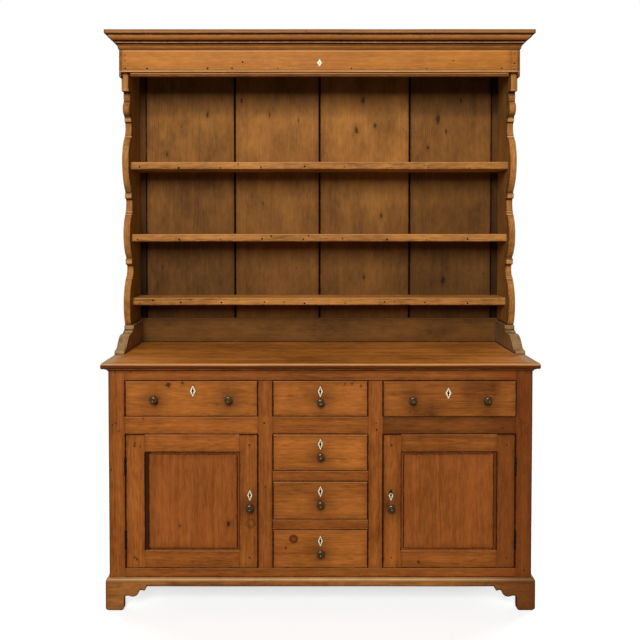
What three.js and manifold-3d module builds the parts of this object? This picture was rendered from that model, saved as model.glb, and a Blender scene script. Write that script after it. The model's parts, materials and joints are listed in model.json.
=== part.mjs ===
// A pine dresser: an open plate rack with a moulded cornice stands on a base of six drawers and two
// cupboards. Millimetres, +Z up, the front faces -Y and the feet stand on Z = 0. Y is counted from the
// worktop's front edge until the last lines, which centre the whole piece front to back.
import * as THREE from "three";
import { mergeVertices } from "three/addons/utils/BufferGeometryUtils.js";
import Module from "manifold-3d";

const wasm = await Module();
wasm.setup();

// The whole piece
const overallHeight = 2121;
const worktopHeight = 884;
const worktopWidth = 1552;
const baseDepth = 470;
const backThickness = 15;

// Worktop and the moulding under it
const worktopThickness = 20;
const worktopFrontOverhang = 22;
const worktopSideOverhang = 22.5;
const worktopNoseRadius = 8;
const underMouldingHeight = 10;
const underMouldingProjection = 10;
const underMouldingShares = [
  [[0, 0]],
  [[0.2, 0]],
  [[0.25, 0.6], [0.9, 0.75]],
  [[1, 0.75]],
  [[1, 1]],
  [[0, 1]],
];

// Carcass and face frame
const carcassBoardThickness = 22;
const frameThickness = 22;
const stileWidth = 58.5;
const muntinWidth = 52.5;
const centreBayWidth = 339;
const topRailHeight = 44.6;
const topDrawerOpening = 128.7;
const waistRailHeight = 62.3;
const drawerRailHeight = 36.8;
const bottomRailHeight = 30.3;
const bottomBoardThickness = 20;
const partitionThickness = 20;
const centreDrawerShares = [0.324, 0.337, 0.339];

// Strips that the drawers run on and between
const runnerHeight = 22;
const runnerGrip = 14;
const guideHeight = 20;
const guideGap = 1;

// Plinth with bracket feet
const plinthHeight = 115;
const plinthThickness = 22;
const plinthProjection = 11;
const plinthEdgeHeight = 11;
const plinthJointGap = 0.3;
const plinthArchHeight = 86;
const bracketLength = 149;
const bracketShares = [
  [[0.389, 0]],
  [[0.433, 0.01], [0.433, 0.163]],
  [[0.433, 0.465]],
  [[0.44, 0.6], [0.51, 0.607]],
  [[0.55, 0.607]],
  [[0.604, 0.558], [0.752, 0.506], [0.802, 0.777]],
  [[0.81, 0.826], [0.832, 0.84]],
  [[0.879, 0.843]],
  [[0.899, 0.797], [0.953, 0.797], [0.963, 0.93]],
  [[0.966, 1], [1, 1]],
];

// Drawers
const drawerSideGap = 1.5;
const drawerTopGap = 2;
const drawerSitGap = 0.8;
const drawerFrontThickness = 20;
const drawerWallThickness = 11;
const drawerBottomThickness = 7;
const drawerBottomRise = 8;
const drawerSideDrop = 6;
const drawerBackSpace = 38;
const rightDrawerProud = 6;

// Doors
const doorThickness = 20;
const doorGap = 1.5;
const doorHingeGap = 2;
const doorStileWidth = 65;
const doorRailWidth = 63;
const panelGrooveDepth = 8;
const panelGrooveWidth = 7;
const panelClearance = 0.3;
const panelFieldSetback = 2.5;
const panelFieldBevel = 2;
const panelChannel = 7;
const panelHingeChannels = { left: 18, right: 13 };

// Butt hinges
const hingeLength = 64;
const hingeBarrelRadius = 4;
const hingePinRadius = 1.6;
const hingeRunningGap = 0.3;
const hingeLeafThickness = 0.8;
const hingeLeafWidth = 21;
const hingeBarrelGap = 0.2;
const upperHingeDrop = 113;
const lowerHingeRise = 104;

// Turned knobs. Each profile row is a share of the knob's radius and of its projection.
const knobRadius = 14;
const knobProjection = 26;
const knobSeatGap = 0.3;
const knobSpindleRadius = 4;
const knobSpindleLength = 12;
const knobBoreClearance = 0.3;
const sideDrawerKnobSpacing = 265;
const knobDropInCentreDrawer = 9;
const doorKnobInset = 28;
const doorKnobDrop = 18;
const knobProfileShares = [
  [0.64, 0],
  [0.64, 0.08],
  [0.42, 0.15],
  [0.34, 0.3],
  [0.46, 0.42],
  [0.86, 0.52],
  [1, 0.66],
  [0.94, 0.8],
  [0.62, 0.93],
];

// Plate rack
const rackSideThickness = 28;
const rackDepth = 176;
const rackFootPad = 10;
const shelfThickness = 30;
const shelfRiseShares = [0.604, 0.37, 0.161];
const shelfDepthShares = [0.841, 0.778, 0.705];
const backRailHeight = 101;
const backRailThickness = 12;
const boardGapWidth = 5;
const boardGapDepth = 4;
const rackBoardGapShares = [-0.93, -0.452, 0.004, 0.489, 0.929];
const baseBoardGapShares = [-0.6, -0.2, 0.2, 0.6];

// The rack side's front edge, from the top down, as shares of the rack's depth behind its front plane
// and of the side board's height. A row of one pair is a straight line, of two or three a curve.
// The foot below it is thicker on its inner side.
const rackEdgeShares = [
  [[0, 1]],
  [[0, 0.8286]],
  [[0.165, 0.8286]],
  [[0.1307, 0.8131], [0.1761, 0.7984]],
  [[0.0443, 0.7853], [0.0443, 0.7608], [0.2017, 0.7535]],
  [[0.2244, 0.7494]],
  [[0.2244, 0.7347]],
  [[0.2784, 0.7339]],
  [[0.3352, 0.7086], [0.233, 0.6865]],
  [[-0.0795, 0.6498], [-0.0795, 0.5518], [0.2727, 0.5061]],
  [[0.2188, 0.502]],
  [[0.2188, 0.4873]],
  [[0.3199, 0.4849]],
  [[0.3409, 0.4588], [0.2483, 0.4351]],
  [[0.0108, 0.3984], [0.0108, 0.3257], [0.3148, 0.2931]],
  [[0.2415, 0.2873]],
  [[0.2415, 0.2727]],
  [[0.3676, 0.2682]],
  [[0.4091, 0.2441], [0.2727, 0.2269]],
  [[0.0074, 0.1861], [0.0074, 0.111], [0.1778, 0.0751]],
];
const rackFootShares = [
  [[0.1778, 0.0751]],
  [[0.1051, 0.0735]],
  [[0.1051, 0.0596]],
  [[0.0017, 0.0555]],
  [[0.0017, 0.0514]],
  [[-0.17, 0.0514]],
  [[-0.275, 0.0506], [-0.35, 0.0408]],
  [[-0.44, 0.0294], [-0.485, 0.02]],
  [[-0.525, 0.0125], [-0.62, 0.0118]],
  [[-0.682, 0.0113], [-0.682, 0.008]],
  [[-0.682, 0]],
];

// Frieze and cornice
const friezeHeight = 140;
const friezeThickness = 18;
const friezeReturnThickness = 4;
const friezeReturnLip = 9;
const friezeReturnDrop = 20;
const friezeReturnChamfer = 6;
const beadHeight = 15;
const beadSetback = 6;
const lidThickness = 12;
const corniceHeight = 65;
const corniceProjection = 45;
const corniceShares = [
  [[0, 0]],
  [[0.05, 0]],
  [[0.08, 0.2], [0.24, 0.31]],
  [[0.33, 0.32]],
  [[0.33, 0.42]],
  [[0.36, 0.44]],
  [[0.5, 0.47], [0.76, 0.52], [0.83, 0.74]],
  [[0.86, 0.765]],
  [[1, 0.77]],
  [[1, 1]],
  [[0, 1]],
];

// Bone key plate on the frieze
const friezePlateWidth = 21;
const friezePlateHeight = 31;
const friezePlateThickness = 1.5;
const friezePlateDrop = 9.5;

// How finely curves are cut, how far a cutting shape runs past what it cuts, and how close points are one
const curveSteps = 6;
const roundSides = 16;
const boreSides = 12;
const overrun = 5;
const weldDistance = 1e-4;

// Places worked out from the sizes above
const carcassHalf = worktopWidth / 2 - worktopSideOverhang;
const carcassTop = worktopHeight - worktopThickness;
const backPlane = baseDepth + backThickness;
const frameFront = worktopFrontOverhang;
const drawerLength = baseDepth - frameFront - drawerBackSpace;
const frameBack = frameFront + frameThickness;
const stileInner = carcassHalf - stileWidth;
const muntinInner = centreBayWidth / 2;
const muntinOuter = muntinInner + muntinWidth;
const muntinMiddle = (muntinInner + muntinOuter) / 2;
const carcassInner = carcassHalf - carcassBoardThickness;
const topRailBottom = carcassTop - topRailHeight;
const waistTop = topRailBottom - topDrawerOpening;
const waistBottom = waistTop - waistRailHeight;
const bottomRailTop = plinthHeight + bottomRailHeight;
const rackHalf = worktopWidth / 2;
const rackInner = rackHalf - rackSideThickness;
const rackFront = baseDepth - rackDepth;
const lidBottom = overallHeight - lidThickness;
const rackHeight = lidBottom - worktopHeight;
const friezeFront = rackFront - friezeThickness;
const friezeBottom = lidBottom - friezeHeight;
const friezeHalf = rackHalf + friezeReturnThickness;

const sides = { left: -1, right: 1 };
const centreOpenings = stackOpenings();
const drawers = drawerList();
const group = new THREE.Group();

// The three lower centre openings, from the top down, each [lowest, highest]
function stackOpenings() {
  const rails = drawerRailHeight * (centreDrawerShares.length - 1);
  const free = waistBottom - bottomRailTop - rails;
  let top = waistBottom;
  return centreDrawerShares.map((share) => {
    const opening = [top - share * free, top];
    top = opening[0] - drawerRailHeight;
    return opening;
  });
}

// What sets each drawer apart: its opening, how far it stands proud, and where its knobs go
function drawerList() {
  const topRow = [waistTop, topRailBottom];
  const list = [
    { name: "drawer_left", across: [-stileInner, -muntinOuter], up: topRow, proud: 0 },
    { name: "drawer_right", across: [muntinOuter, stileInner], up: topRow, proud: rightDrawerProud },
  ];
  for (const drawer of list) {
    const middle = (drawer.across[0] + drawer.across[1]) / 2;
    drawer.knobs = [-1, 1].map((side) => middle + (side * sideDrawerKnobSpacing) / 2);
    drawer.knobHeight = (waistTop + topRailBottom) / 2;
  }
  [topRow, ...centreOpenings].forEach((up, i) => {
    const drawer = { name: `drawer_centre_${i + 1}`, across: [-muntinInner, muntinInner], up, proud: 0 };
    drawer.knobs = [0];
    drawer.knobHeight = (up[0] + up[1]) / 2 - knobDropInCentreDrawer;
    list.push(drawer);
  });
  return list;
}

// Geometry as positions and an index alone, so that booleans and the exported mesh are closed
function plain(geometry) {
  geometry.deleteAttribute("normal");
  geometry.deleteAttribute("uv");
  return mergeVertices(geometry, weldDistance);
}

// Moves each vertex to place(u, v, w). A mapping that mirrors the shape also turns its faces round.
function mapped(geometry, place, mirrored = false) {
  const made = plain(geometry);
  const position = made.attributes.position;
  for (let i = 0; i < position.count; i++) {
    position.setXYZ(i, ...place(position.getX(i), position.getY(i), position.getZ(i)));
  }
  if (mirrored) {
    const index = made.index.array;
    for (let i = 0; i < index.length; i += 3) {
      [index[i + 1], index[i + 2]] = [index[i + 2], index[i + 1]];
    }
  }
  return made;
}

// A board between two places on each axis
function board([x0, x1], [y0, y1], [z0, z1]) {
  const unit = new THREE.BoxGeometry(1, 1, 1);
  return mapped(unit, (u, v, w) => [u < 0 ? x0 : x1, v < 0 ? y0 : y1, w < 0 ? z0 : z1]);
}

// An outline on (Y, Z) carried along X
function alongX(shape, [from, to]) {
  const unit = new THREE.ExtrudeGeometry(shape, { depth: 1, bevelEnabled: false, curveSegments: curveSteps });
  return mapped(unit, (u, v, w) => [w > 0 ? to : from, u, v]);
}

// An outline on (X, Z) carried along Y
function alongY(shape, [from, to]) {
  const unit = new THREE.ExtrudeGeometry(shape, { depth: 1, bevelEnabled: false, curveSegments: curveSteps });
  return mapped(unit, (u, v, w) => [u, w > 0 ? to : from, v], true);
}

function mirrorX(geometry) {
  return mapped(geometry, (x, y, z) => [-x, y, z], true);
}

// A mirrored copy for the left, the shape itself for the right
function onSide(side, geometry) {
  return side < 0 ? mirrorX(geometry) : geometry;
}

// Adds rows of shares to a shape as lines and curves, each pair placed by at(first, second)
function trace(shape, rows, at) {
  for (const row of rows) {
    const numbers = row.flatMap(([first, second]) => at(first, second));
    if (row.length === 1) shape.lineTo(...numbers);
    if (row.length === 2) shape.quadraticCurveTo(...numbers);
    if (row.length === 3) shape.bezierCurveTo(...numbers);
  }
  return shape;
}

// The points of an outline given in shares, with its curves cut to steps
function profileOf(rows, width, height) {
  const shape = new THREE.Shape();
  shape.moveTo(rows[0][0][0] * width, rows[0][0][1] * height);
  trace(shape, rows.slice(1), (across, up) => [across * width, up * height]);
  return shape.getPoints(curveSteps);
}

// A profile of (outwards, up) points carried past stations. At each station a point lies at the station's
// place plus its outward length times the station's outward direction, which is the mitre at a corner.
function moulding(profile, stations, bottom) {
  const closed = profile.at(0).distanceTo(profile.at(-1)) > 0 ? profile : profile.slice(0, -1);
  const n = closed.length;
  const positions = [];
  for (const { place, out } of stations) {
    for (const point of closed) {
      positions.push(place[0] + out[0] * point.x, place[1] + out[1] * point.x, bottom + point.y);
    }
  }
  const faces = [];
  for (let s = 0; s < stations.length - 1; s++) {
    for (let i = 0; i < n; i++) {
      const a = s * n + i;
      const b = s * n + ((i + 1) % n);
      faces.push(a, a + n, b, b, a + n, b + n);
    }
  }
  const end = (stations.length - 1) * n;
  for (const [a, b, c] of THREE.ShapeUtils.triangulateShape(closed, [])) {
    faces.push(a, b, c, end + a, end + c, end + b);
  }
  const geometry = new THREE.BufferGeometry();
  geometry.setAttribute("position", new THREE.Float32BufferAttribute(positions, 3));
  geometry.setIndex(faces);
  return geometry;
}

// The four stations of a moulding round the left side, the front and the right side of a body
function roundBody(half, front, back) {
  return [
    { place: [-half, back], out: [-1, 0] },
    { place: [-half, front], out: [-1, -1] },
    { place: [half, front], out: [1, -1] },
    { place: [half, back], out: [1, 0] },
  ];
}

function solid(geometry) {
  const made = plain(geometry);
  return new wasm.Manifold(
    new wasm.Mesh({
      numProp: 3,
      vertProperties: new Float32Array(made.attributes.position.array),
      triVerts: new Uint32Array(made.index.array),
    }),
  );
}

function geometryOf(manifold) {
  const mesh = manifold.getMesh();
  const geometry = new THREE.BufferGeometry();
  geometry.setAttribute("position", new THREE.Float32BufferAttribute(mesh.vertProperties, 3));
  geometry.setIndex(new THREE.Uint32BufferAttribute(mesh.triVerts, 1));
  return geometry;
}

function joined(...geometries) {
  return geometryOf(geometries.map(solid).reduce((whole, piece) => whole.add(piece)));
}

function cut(geometry, ...cutters) {
  return geometryOf(cutters.map(solid).reduce((rest, cutter) => rest.subtract(cutter), solid(geometry)));
}

// A cylinder standing on the Z axis through (x, y)
function upright(radius, [x, y], [z0, z1], sideCount) {
  const unit = new THREE.CylinderGeometry(1, 1, 1, sideCount);
  return mapped(unit, (u, v, w) => [x + radius * w, y + radius * u, v < 0 ? z0 : z1]);
}

const woods = {
  rack: [0xb5763a, 0.55],
  cornice: [0xbb7c3e, 0.5],
  inside: [0x7d5230, 0.7],
  top: [0x9a6334, 0.5],
  base: [0x93572a, 0.55],
  drawer: [0x9e5e2d, 0.5],
};

function add(name, geometry, [colour, roughness], metalness = 0) {
  const material = new THREE.MeshStandardMaterial({ color: colour, roughness, metalness });
  const mesh = new THREE.Mesh(geometry, material);
  mesh.name = name;
  group.add(mesh);
}

function buildPlinth() {
  const half = carcassHalf + plinthProjection - plinthThickness;
  const front = frameFront - plinthProjection + plinthThickness;
  const section = new THREE.Shape();
  section.moveTo(0, 0);
  section.lineTo(plinthThickness, 0);
  section.lineTo(plinthThickness, plinthHeight - plinthEdgeHeight);
  section.quadraticCurveTo(
    plinthThickness,
    plinthHeight,
    plinthThickness - plinthProjection,
    plinthHeight,
  );
  section.lineTo(0, plinthHeight);
  const profile = section.getPoints(curveSteps);
  const [leftBack, leftFront, rightFront, rightBack] = roundBody(half, front, backPlane);
  const frontBoard = moulding(profile, [leftFront, rightFront], 0);
  const outerX = half + plinthThickness;
  const frontArch = arch([-outerX, outerX]);
  const through = [front - plinthThickness - overrun, front + overrun];
  add("plinth_front", cut(frontBoard, alongY(frontArch, through)), woods.base);

  const sideArch = arch([front - plinthThickness, backPlane]);
  const setBack = ({ place, out }) => ({ place: [place[0], place[1] + plinthJointGap], out });
  for (const [sideName, stations] of [
    ["left", [leftBack, setBack(leftFront)]],
    ["right", [setBack(rightFront), rightBack]],
  ]) {
    const side = sides[sideName];
    const span = [side * (half - overrun), side * (outerX + overrun)].sort((a, b) => a - b);
    const sideBoard = moulding(profile, stations, 0);
    add(`plinth_${sideName}`, cut(sideBoard, alongX(sideArch, span)), woods.base);
  }
}

// The space under a plinth board between its two bracket feet, as an outline on (along, up)
function arch([from, to]) {
  const bracket = profileOf(bracketShares, bracketLength, plinthArchHeight);
  const foot = bracket[0];
  const rising = bracket.map((point) => new THREE.Vector2(from + point.x, point.y));
  const falling = bracket.map((point) => new THREE.Vector2(to - point.x, point.y)).reverse();
  const start = new THREE.Vector2(from + foot.x, -overrun);
  const end = new THREE.Vector2(to - foot.x, -overrun);
  return new THREE.Shape([start, ...rising, ...falling, end]);
}

function buildCarcass() {
  const upright = [plinthHeight, carcassTop];
  const inside = [frameBack, baseDepth];
  const runner = [waistTop - runnerHeight, waistTop];
  const guide = [waistTop, waistTop + guideHeight];
  for (const [sideName, side] of Object.entries(sides)) {
    const strips = [
      { up: runner, reach: stileInner - drawerSideGap - runnerGrip },
      { up: guide, reach: stileInner - drawerSideGap + guideGap },
    ];
    const outline = boardWithStrips([carcassInner, carcassHalf], upright, strips, []);
    add(`base_side_${sideName}`, onSide(side, alongY(outline, inside)), woods.base);
  }
  for (const [sideName, side] of Object.entries(sides)) {
    const across = [muntinMiddle - partitionThickness / 2, muntinMiddle + partitionThickness / 2];
    const inner = [{ up: [bottomRailTop, bottomRailTop + guideHeight], reach: guideFace(-1) }];
    for (const [bottom] of [...centreOpenings.slice(0, -1)].reverse()) {
      inner.push({ up: [bottom - runnerHeight, bottom], reach: runnerEdge(-1) });
      inner.push({ up: [bottom, bottom + guideHeight], reach: guideFace(-1) });
    }
    inner.push({ up: runner, reach: runnerEdge(-1) }, { up: guide, reach: guideFace(-1) });
    const outer = [
      { up: runner, reach: runnerEdge(1) },
      { up: guide, reach: guideFace(1) },
    ];
    const outline = boardWithStrips(across, [bottomRailTop, carcassTop], inner, outer);
    add(`partition_${sideName}`, onSide(side, alongY(outline, inside)), woods.inside);
  }
  const bottomUp = [bottomRailTop - bottomBoardThickness, bottomRailTop];
  add("base_bottom_board", board([-carcassInner, carcassInner], inside, bottomUp), woods.inside);
  add("base_back_boards", gappedBoards(carcassHalf, upright, baseBoardGapShares), woods.inside);
}

// How far a runner or a guide on the partition reaches, on its centre side (-1) or its outer side (1)
function runnerEdge(direction) {
  const opening = direction < 0 ? muntinInner : muntinOuter;
  return opening + direction * (drawerSideGap + runnerGrip);
}

function guideFace(direction) {
  const opening = direction < 0 ? muntinInner : muntinOuter;
  return opening + direction * (drawerSideGap - guideGap);
}

// The section of an upright board with strips on its low and its high face, listed from the bottom up
function boardWithStrips([low, high], [bottom, top], lowStrips, highStrips) {
  const shape = new THREE.Shape();
  shape.moveTo(high, bottom);
  for (const { up, reach } of highStrips) {
    shape.lineTo(high, up[0]);
    shape.lineTo(reach, up[0]);
    shape.lineTo(reach, up[1]);
    shape.lineTo(high, up[1]);
  }
  shape.lineTo(high, top);
  shape.lineTo(low, top);
  for (const { up, reach } of [...lowStrips].reverse()) {
    shape.lineTo(low, up[1]);
    shape.lineTo(reach, up[1]);
    shape.lineTo(reach, up[0]);
    shape.lineTo(low, up[0]);
  }
  shape.lineTo(low, bottom);
  return tidyShape(shape);
}

// The same outline without points that repeat or double back on a straight line
function tidyShape(shape) {
  const points = shape.getPoints();
  const kept = points.filter((point, i) => {
    const before = points.at(i - 1);
    const after = points[(i + 1) % points.length];
    const turn = (point.x - before.x) * (after.y - point.y) - (point.y - before.y) * (after.x - point.x);
    return turn !== 0;
  });
  return new THREE.Shape(kept);
}

// Upright back boards as one panel, with a narrow groove on both faces where two boards meet
function gappedBoards(half, up, gapShares) {
  const shape = new THREE.Shape();
  shape.moveTo(-half, baseDepth);
  for (const share of gapShares) notch(shape, share * half, baseDepth, 1);
  shape.lineTo(half, baseDepth);
  shape.lineTo(half, backPlane);
  for (const share of [...gapShares].reverse()) notch(shape, share * half, backPlane, -1);
  shape.lineTo(-half, backPlane);
  const unit = new THREE.ExtrudeGeometry(shape, { depth: 1, bevelEnabled: false });
  return mapped(unit, (u, v, w) => [u, v, w > 0 ? up[1] : up[0]]);
}

function notch(shape, middle, face, inwards) {
  const reach = (inwards * boardGapWidth) / 2;
  shape.lineTo(middle - reach, face);
  shape.lineTo(middle - reach, face + inwards * boardGapDepth);
  shape.lineTo(middle + reach, face + inwards * boardGapDepth);
  shape.lineTo(middle + reach, face);
}

function buildFaceFrame() {
  const through = [frameFront, frameBack];
  for (const [sideName, side] of Object.entries(sides)) {
    const stile = board([stileInner, carcassHalf], through, [plinthHeight, carcassTop]);
    const muntin = board([muntinInner, muntinOuter], through, [bottomRailTop, topRailBottom]);
    const waist = board([muntinOuter, stileInner], through, [waistBottom, waistTop]);
    add(`stile_${sideName}`, onSide(side, stile), woods.base);
    add(`muntin_${sideName}`, onSide(side, muntin), woods.base);
    add(`waist_rail_${sideName}`, onSide(side, waist), woods.base);
  }
  const bay = [-stileInner, stileInner];
  const centre = [-muntinInner, muntinInner];
  add("top_rail", board(bay, through, [topRailBottom, carcassTop]), woods.base);
  add("bottom_rail", board(bay, through, [plinthHeight, bottomRailTop]), woods.base);
  add("waist_rail_centre", board(centre, through, [waistBottom, waistTop]), woods.base);
  centreOpenings.slice(0, -1).forEach(([bottom], i) => {
    add(`drawer_rail_${i + 1}`, board(centre, through, [bottom - drawerRailHeight, bottom]), woods.base);
  });
}

function buildWorktop() {
  const nose = Math.min(worktopNoseRadius, worktopThickness / 2);
  const shape = new THREE.Shape();
  shape.moveTo(backPlane, carcassTop);
  shape.lineTo(backPlane, worktopHeight);
  shape.lineTo(nose, worktopHeight);
  shape.absarc(nose, worktopHeight - nose, nose, Math.PI / 2, Math.PI, false);
  shape.absarc(nose, carcassTop + nose, nose, Math.PI, (3 * Math.PI) / 2, false);
  add("worktop", alongX(shape, [-worktopWidth / 2, worktopWidth / 2]), woods.top);
  const profile = profileOf(underMouldingShares, underMouldingProjection, underMouldingHeight);
  const stations = roundBody(carcassHalf, frameFront, backPlane);
  add("worktop_moulding", moulding(profile, stations, carcassTop - underMouldingHeight), woods.base);
}

// A bore for a knob's spindle, from a front face inwards
function knobBore([x, y, z]) {
  const radius = knobSpindleRadius + knobBoreClearance;
  const unit = new THREE.CylinderGeometry(radius, radius, 1, boreSides);
  const depth = knobSpindleLength + knobBoreClearance;
  return mapped(unit, (u, v, w) => [x + u, v < 0 ? y - overrun : y + depth, z + w]);
}

// A knob whose rose sits just off the front face at (x, y, z), with its spindle in the bore
function knob(name, [x, y, z]) {
  const profile = [new THREE.Vector2(0, -knobSpindleLength)];
  profile.push(new THREE.Vector2(knobSpindleRadius, -knobSpindleLength));
  profile.push(new THREE.Vector2(knobSpindleRadius, 0));
  for (const [across, along] of knobProfileShares) {
    const height = knobSeatGap + along * (knobProjection - knobSeatGap);
    profile.push(new THREE.Vector2(across * knobRadius, height));
  }
  profile.push(new THREE.Vector2(0, knobProjection));
  const turned = new THREE.LatheGeometry(profile, roundSides);
  turned.rotateX(Math.PI);
  turned.translate(x, y, z);
  add(name, plain(turned), [0x4a3a2a, 0.4], 0.7);
}

function buildDrawer({ name, across, up, proud, knobs, knobHeight }) {
  const front = frameFront - proud;
  const width = [across[0] + drawerSideGap, across[1] - drawerSideGap];
  const height = [up[0] + drawerSitGap, up[1] - drawerTopGap];
  const wallUp = [height[0], height[1] - drawerSideDrop];
  const wallTo = front + drawerLength;
  const inner = [width[0] + drawerWallThickness, width[1] - drawerWallThickness];
  const bottomUp = [height[0] + drawerBottomRise, height[0] + drawerBottomRise + drawerBottomThickness];
  const frontBoard = board(width, [front, front + drawerFrontThickness], height);
  const shell = board(width, [front + drawerFrontThickness / 2, wallTo], wallUp);
  const well = [front + drawerFrontThickness, wallTo - drawerWallThickness];
  const above = board(inner, well, [bottomUp[1], height[1] + overrun]);
  const below = board(inner, [well[0], wallTo + overrun], [height[0] - overrun, bottomUp[0]]);
  const bores = knobs.map((x) => knobBore([x, front, knobHeight]));
  add(name, cut(joined(frontBoard, shell), above, below, ...bores), woods.drawer);
  knobs.forEach((x, i) => {
    const suffix = knobs.length > 1 ? `_${i + 1}` : "";
    knob(`knob_${name}${suffix}`, [x, front, knobHeight]);
  });
}

function buildDoor(sideName) {
  const side = sides[sideName];
  const outer = [muntinOuter + doorGap, stileInner - doorHingeGap];
  const up = [bottomRailTop + doorGap, waistBottom - doorGap];
  const through = [frameFront, frameFront + doorThickness];
  const hole = [outer[0] + doorStileWidth, outer[1] - doorStileWidth];
  const holeUp = [up[0] + doorRailWidth, up[1] - doorRailWidth];
  const middle = frameFront + doorThickness / 2;
  const grooveThrough = [middle - panelGrooveWidth / 2, middle + panelGrooveWidth / 2];
  const groove = board(grown(hole, panelGrooveDepth), grooveThrough, grown(holeUp, panelGrooveDepth));
  const opening = board(hole, grown(through, overrun), holeUp);
  const knobPlace = [outer[0] + doorKnobInset, frameFront, (up[0] + up[1]) / 2 - doorKnobDrop];
  const frame = cut(board(outer, through, up), groove, opening, knobBore(knobPlace));
  add(`door_frame_${sideName}`, onSide(side, frame), woods.base);

  const tongue = panelGrooveDepth - panelClearance;
  const panelThrough = [grooveThrough[0] + panelClearance, grooveThrough[1] - panelClearance];
  const plate = board(grown(hole, tongue), panelThrough, grown(holeUp, tongue));
  const field = [hole[0] + panelChannel, hole[1] - panelHingeChannels[sideName]];
  const fieldUp = grown(holeUp, -panelChannel);
  const fieldFront = frameFront + panelFieldSetback;
  const panel = joined(plate, fielded(field, fieldFront, middle, fieldUp));
  add(`door_panel_${sideName}`, onSide(side, panel), woods.base);
  knob(`knob_door_${sideName}`, [side * knobPlace[0], knobPlace[1], knobPlace[2]]);
  buildHinge(sideName, "upper", up[1] - upperHingeDrop);
  buildHinge(sideName, "lower", up[0] + lowerHingeRise);
}

function grown([low, high], by) {
  return [low - by, high + by];
}

// The raised field of a panel, from its front face back to depth, with its front edges bevelled
function fielded(across, front, back, up) {
  const unit = new THREE.BoxGeometry(1, 1, 1);
  const pick = (share, range, inset) => (share < 0 ? range[0] + inset : range[1] - inset);
  return mapped(unit, (u, v, w) => {
    const inset = v < 0 ? panelFieldBevel : 0;
    return [pick(u, across, inset), v < 0 ? front : back, pick(w, up, inset)];
  });
}

// A butt hinge of three knuckles: the outer two, the pin and one leaf are fixed, the middle one turns
function buildHinge(sideName, level, middle) {
  const side = sides[sideName];
  const axisX = stileInner - doorHingeGap / 2;
  const axisY = frameFront - hingeBarrelRadius - hingeBarrelGap;
  const axis = [axisX, axisY];
  const ends = [middle - hingeLength / 2, middle + hingeLength / 2];
  const knuckle = hingeLength / 3;
  const cuts = [ends[0] + knuckle, ends[1] - knuckle];
  const clear = hingeBarrelRadius + hingeRunningGap;
  const leafBack = axisY + hingeLeafWidth;
  const fixedLeaf = [stileInner - hingeLeafThickness, stileInner];
  const movingLeaf = [stileInner - doorHingeGap, stileInner - doorHingeGap + hingeLeafThickness];
  const middleUp = [cuts[0] + hingeRunningGap / 2, cuts[1] - hingeRunningGap / 2];
  const fixed = joined(
    board(fixedLeaf, [axisY + clear, leafBack], ends),
    board(fixedLeaf, [axisY, axisY + clear + overrun], [ends[0], cuts[0] - hingeRunningGap / 2]),
    board(fixedLeaf, [axisY, axisY + clear + overrun], [cuts[1] + hingeRunningGap / 2, ends[1]]),
    upright(hingeBarrelRadius, axis, [ends[0], cuts[0] - hingeRunningGap / 2], roundSides),
    upright(hingeBarrelRadius, axis, [cuts[1] + hingeRunningGap / 2, ends[1]], roundSides),
    upright(hingePinRadius, axis, ends, boreSides),
  );
  const turning = joined(
    board(movingLeaf, [axisY + clear, leafBack], ends),
    board(movingLeaf, [axisY, axisY + clear + overrun], middleUp),
    upright(hingeBarrelRadius, axis, middleUp, roundSides),
  );
  const bore = upright(hingePinRadius + hingeRunningGap, axis, grown(ends, overrun), boreSides);
  const iron = [0x2e2620, 0.5];
  add(`hinge_${sideName}_${level}_fixed`, onSide(side, fixed), iron, 0.8);
  add(`hinge_${sideName}_${level}_turning`, onSide(side, cut(turning, bore)), iron, 0.8);
}

function buildRack() {
  const shape = new THREE.Shape();
  shape.moveTo(baseDepth, worktopHeight);
  shape.lineTo(baseDepth, lidBottom);
  const at = (depth, rise) => [rackFront + depth * rackDepth, worktopHeight + rise * rackHeight];
  trace(shape, [...rackEdgeShares, ...rackFootShares.slice(1)], at);
  const railFace = baseDepth - backRailThickness;
  const foot = new THREE.Shape();
  foot.moveTo(railFace, worktopHeight);
  foot.lineTo(railFace, at(...rackFootShares[0][0])[1]);
  trace(foot, rackFootShares, at);
  for (const [sideName, side] of Object.entries(sides)) {
    const sideBoard = alongX(shape, [rackInner, rackHalf]);
    const pad = alongX(foot, [rackInner - rackFootPad, rackInner + overrun]);
    add(`rack_side_${sideName}`, onSide(side, joined(sideBoard, pad)), woods.rack);
  }
  ["top", "middle", "bottom"].forEach((name, i) => {
    const top = worktopHeight + shelfRiseShares[i] * rackHeight;
    const depth = shelfDepthShares[i] * rackDepth;
    const across = [-rackInner, rackInner];
    const shelf = board(across, [baseDepth - depth, baseDepth], [top - shelfThickness, top]);
    add(`shelf_${name}`, shelf, woods.rack);
  });
  const boards = gappedBoards(rackHalf, [worktopHeight, lidBottom], rackBoardGapShares);
  add("rack_back_boards", boards, woods.inside);
  const railThrough = [railFace, baseDepth];
  const railUp = [worktopHeight, worktopHeight + backRailHeight];
  add("rack_back_rail", board([-rackInner, rackInner], railThrough, railUp), woods.inside);
}

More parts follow.
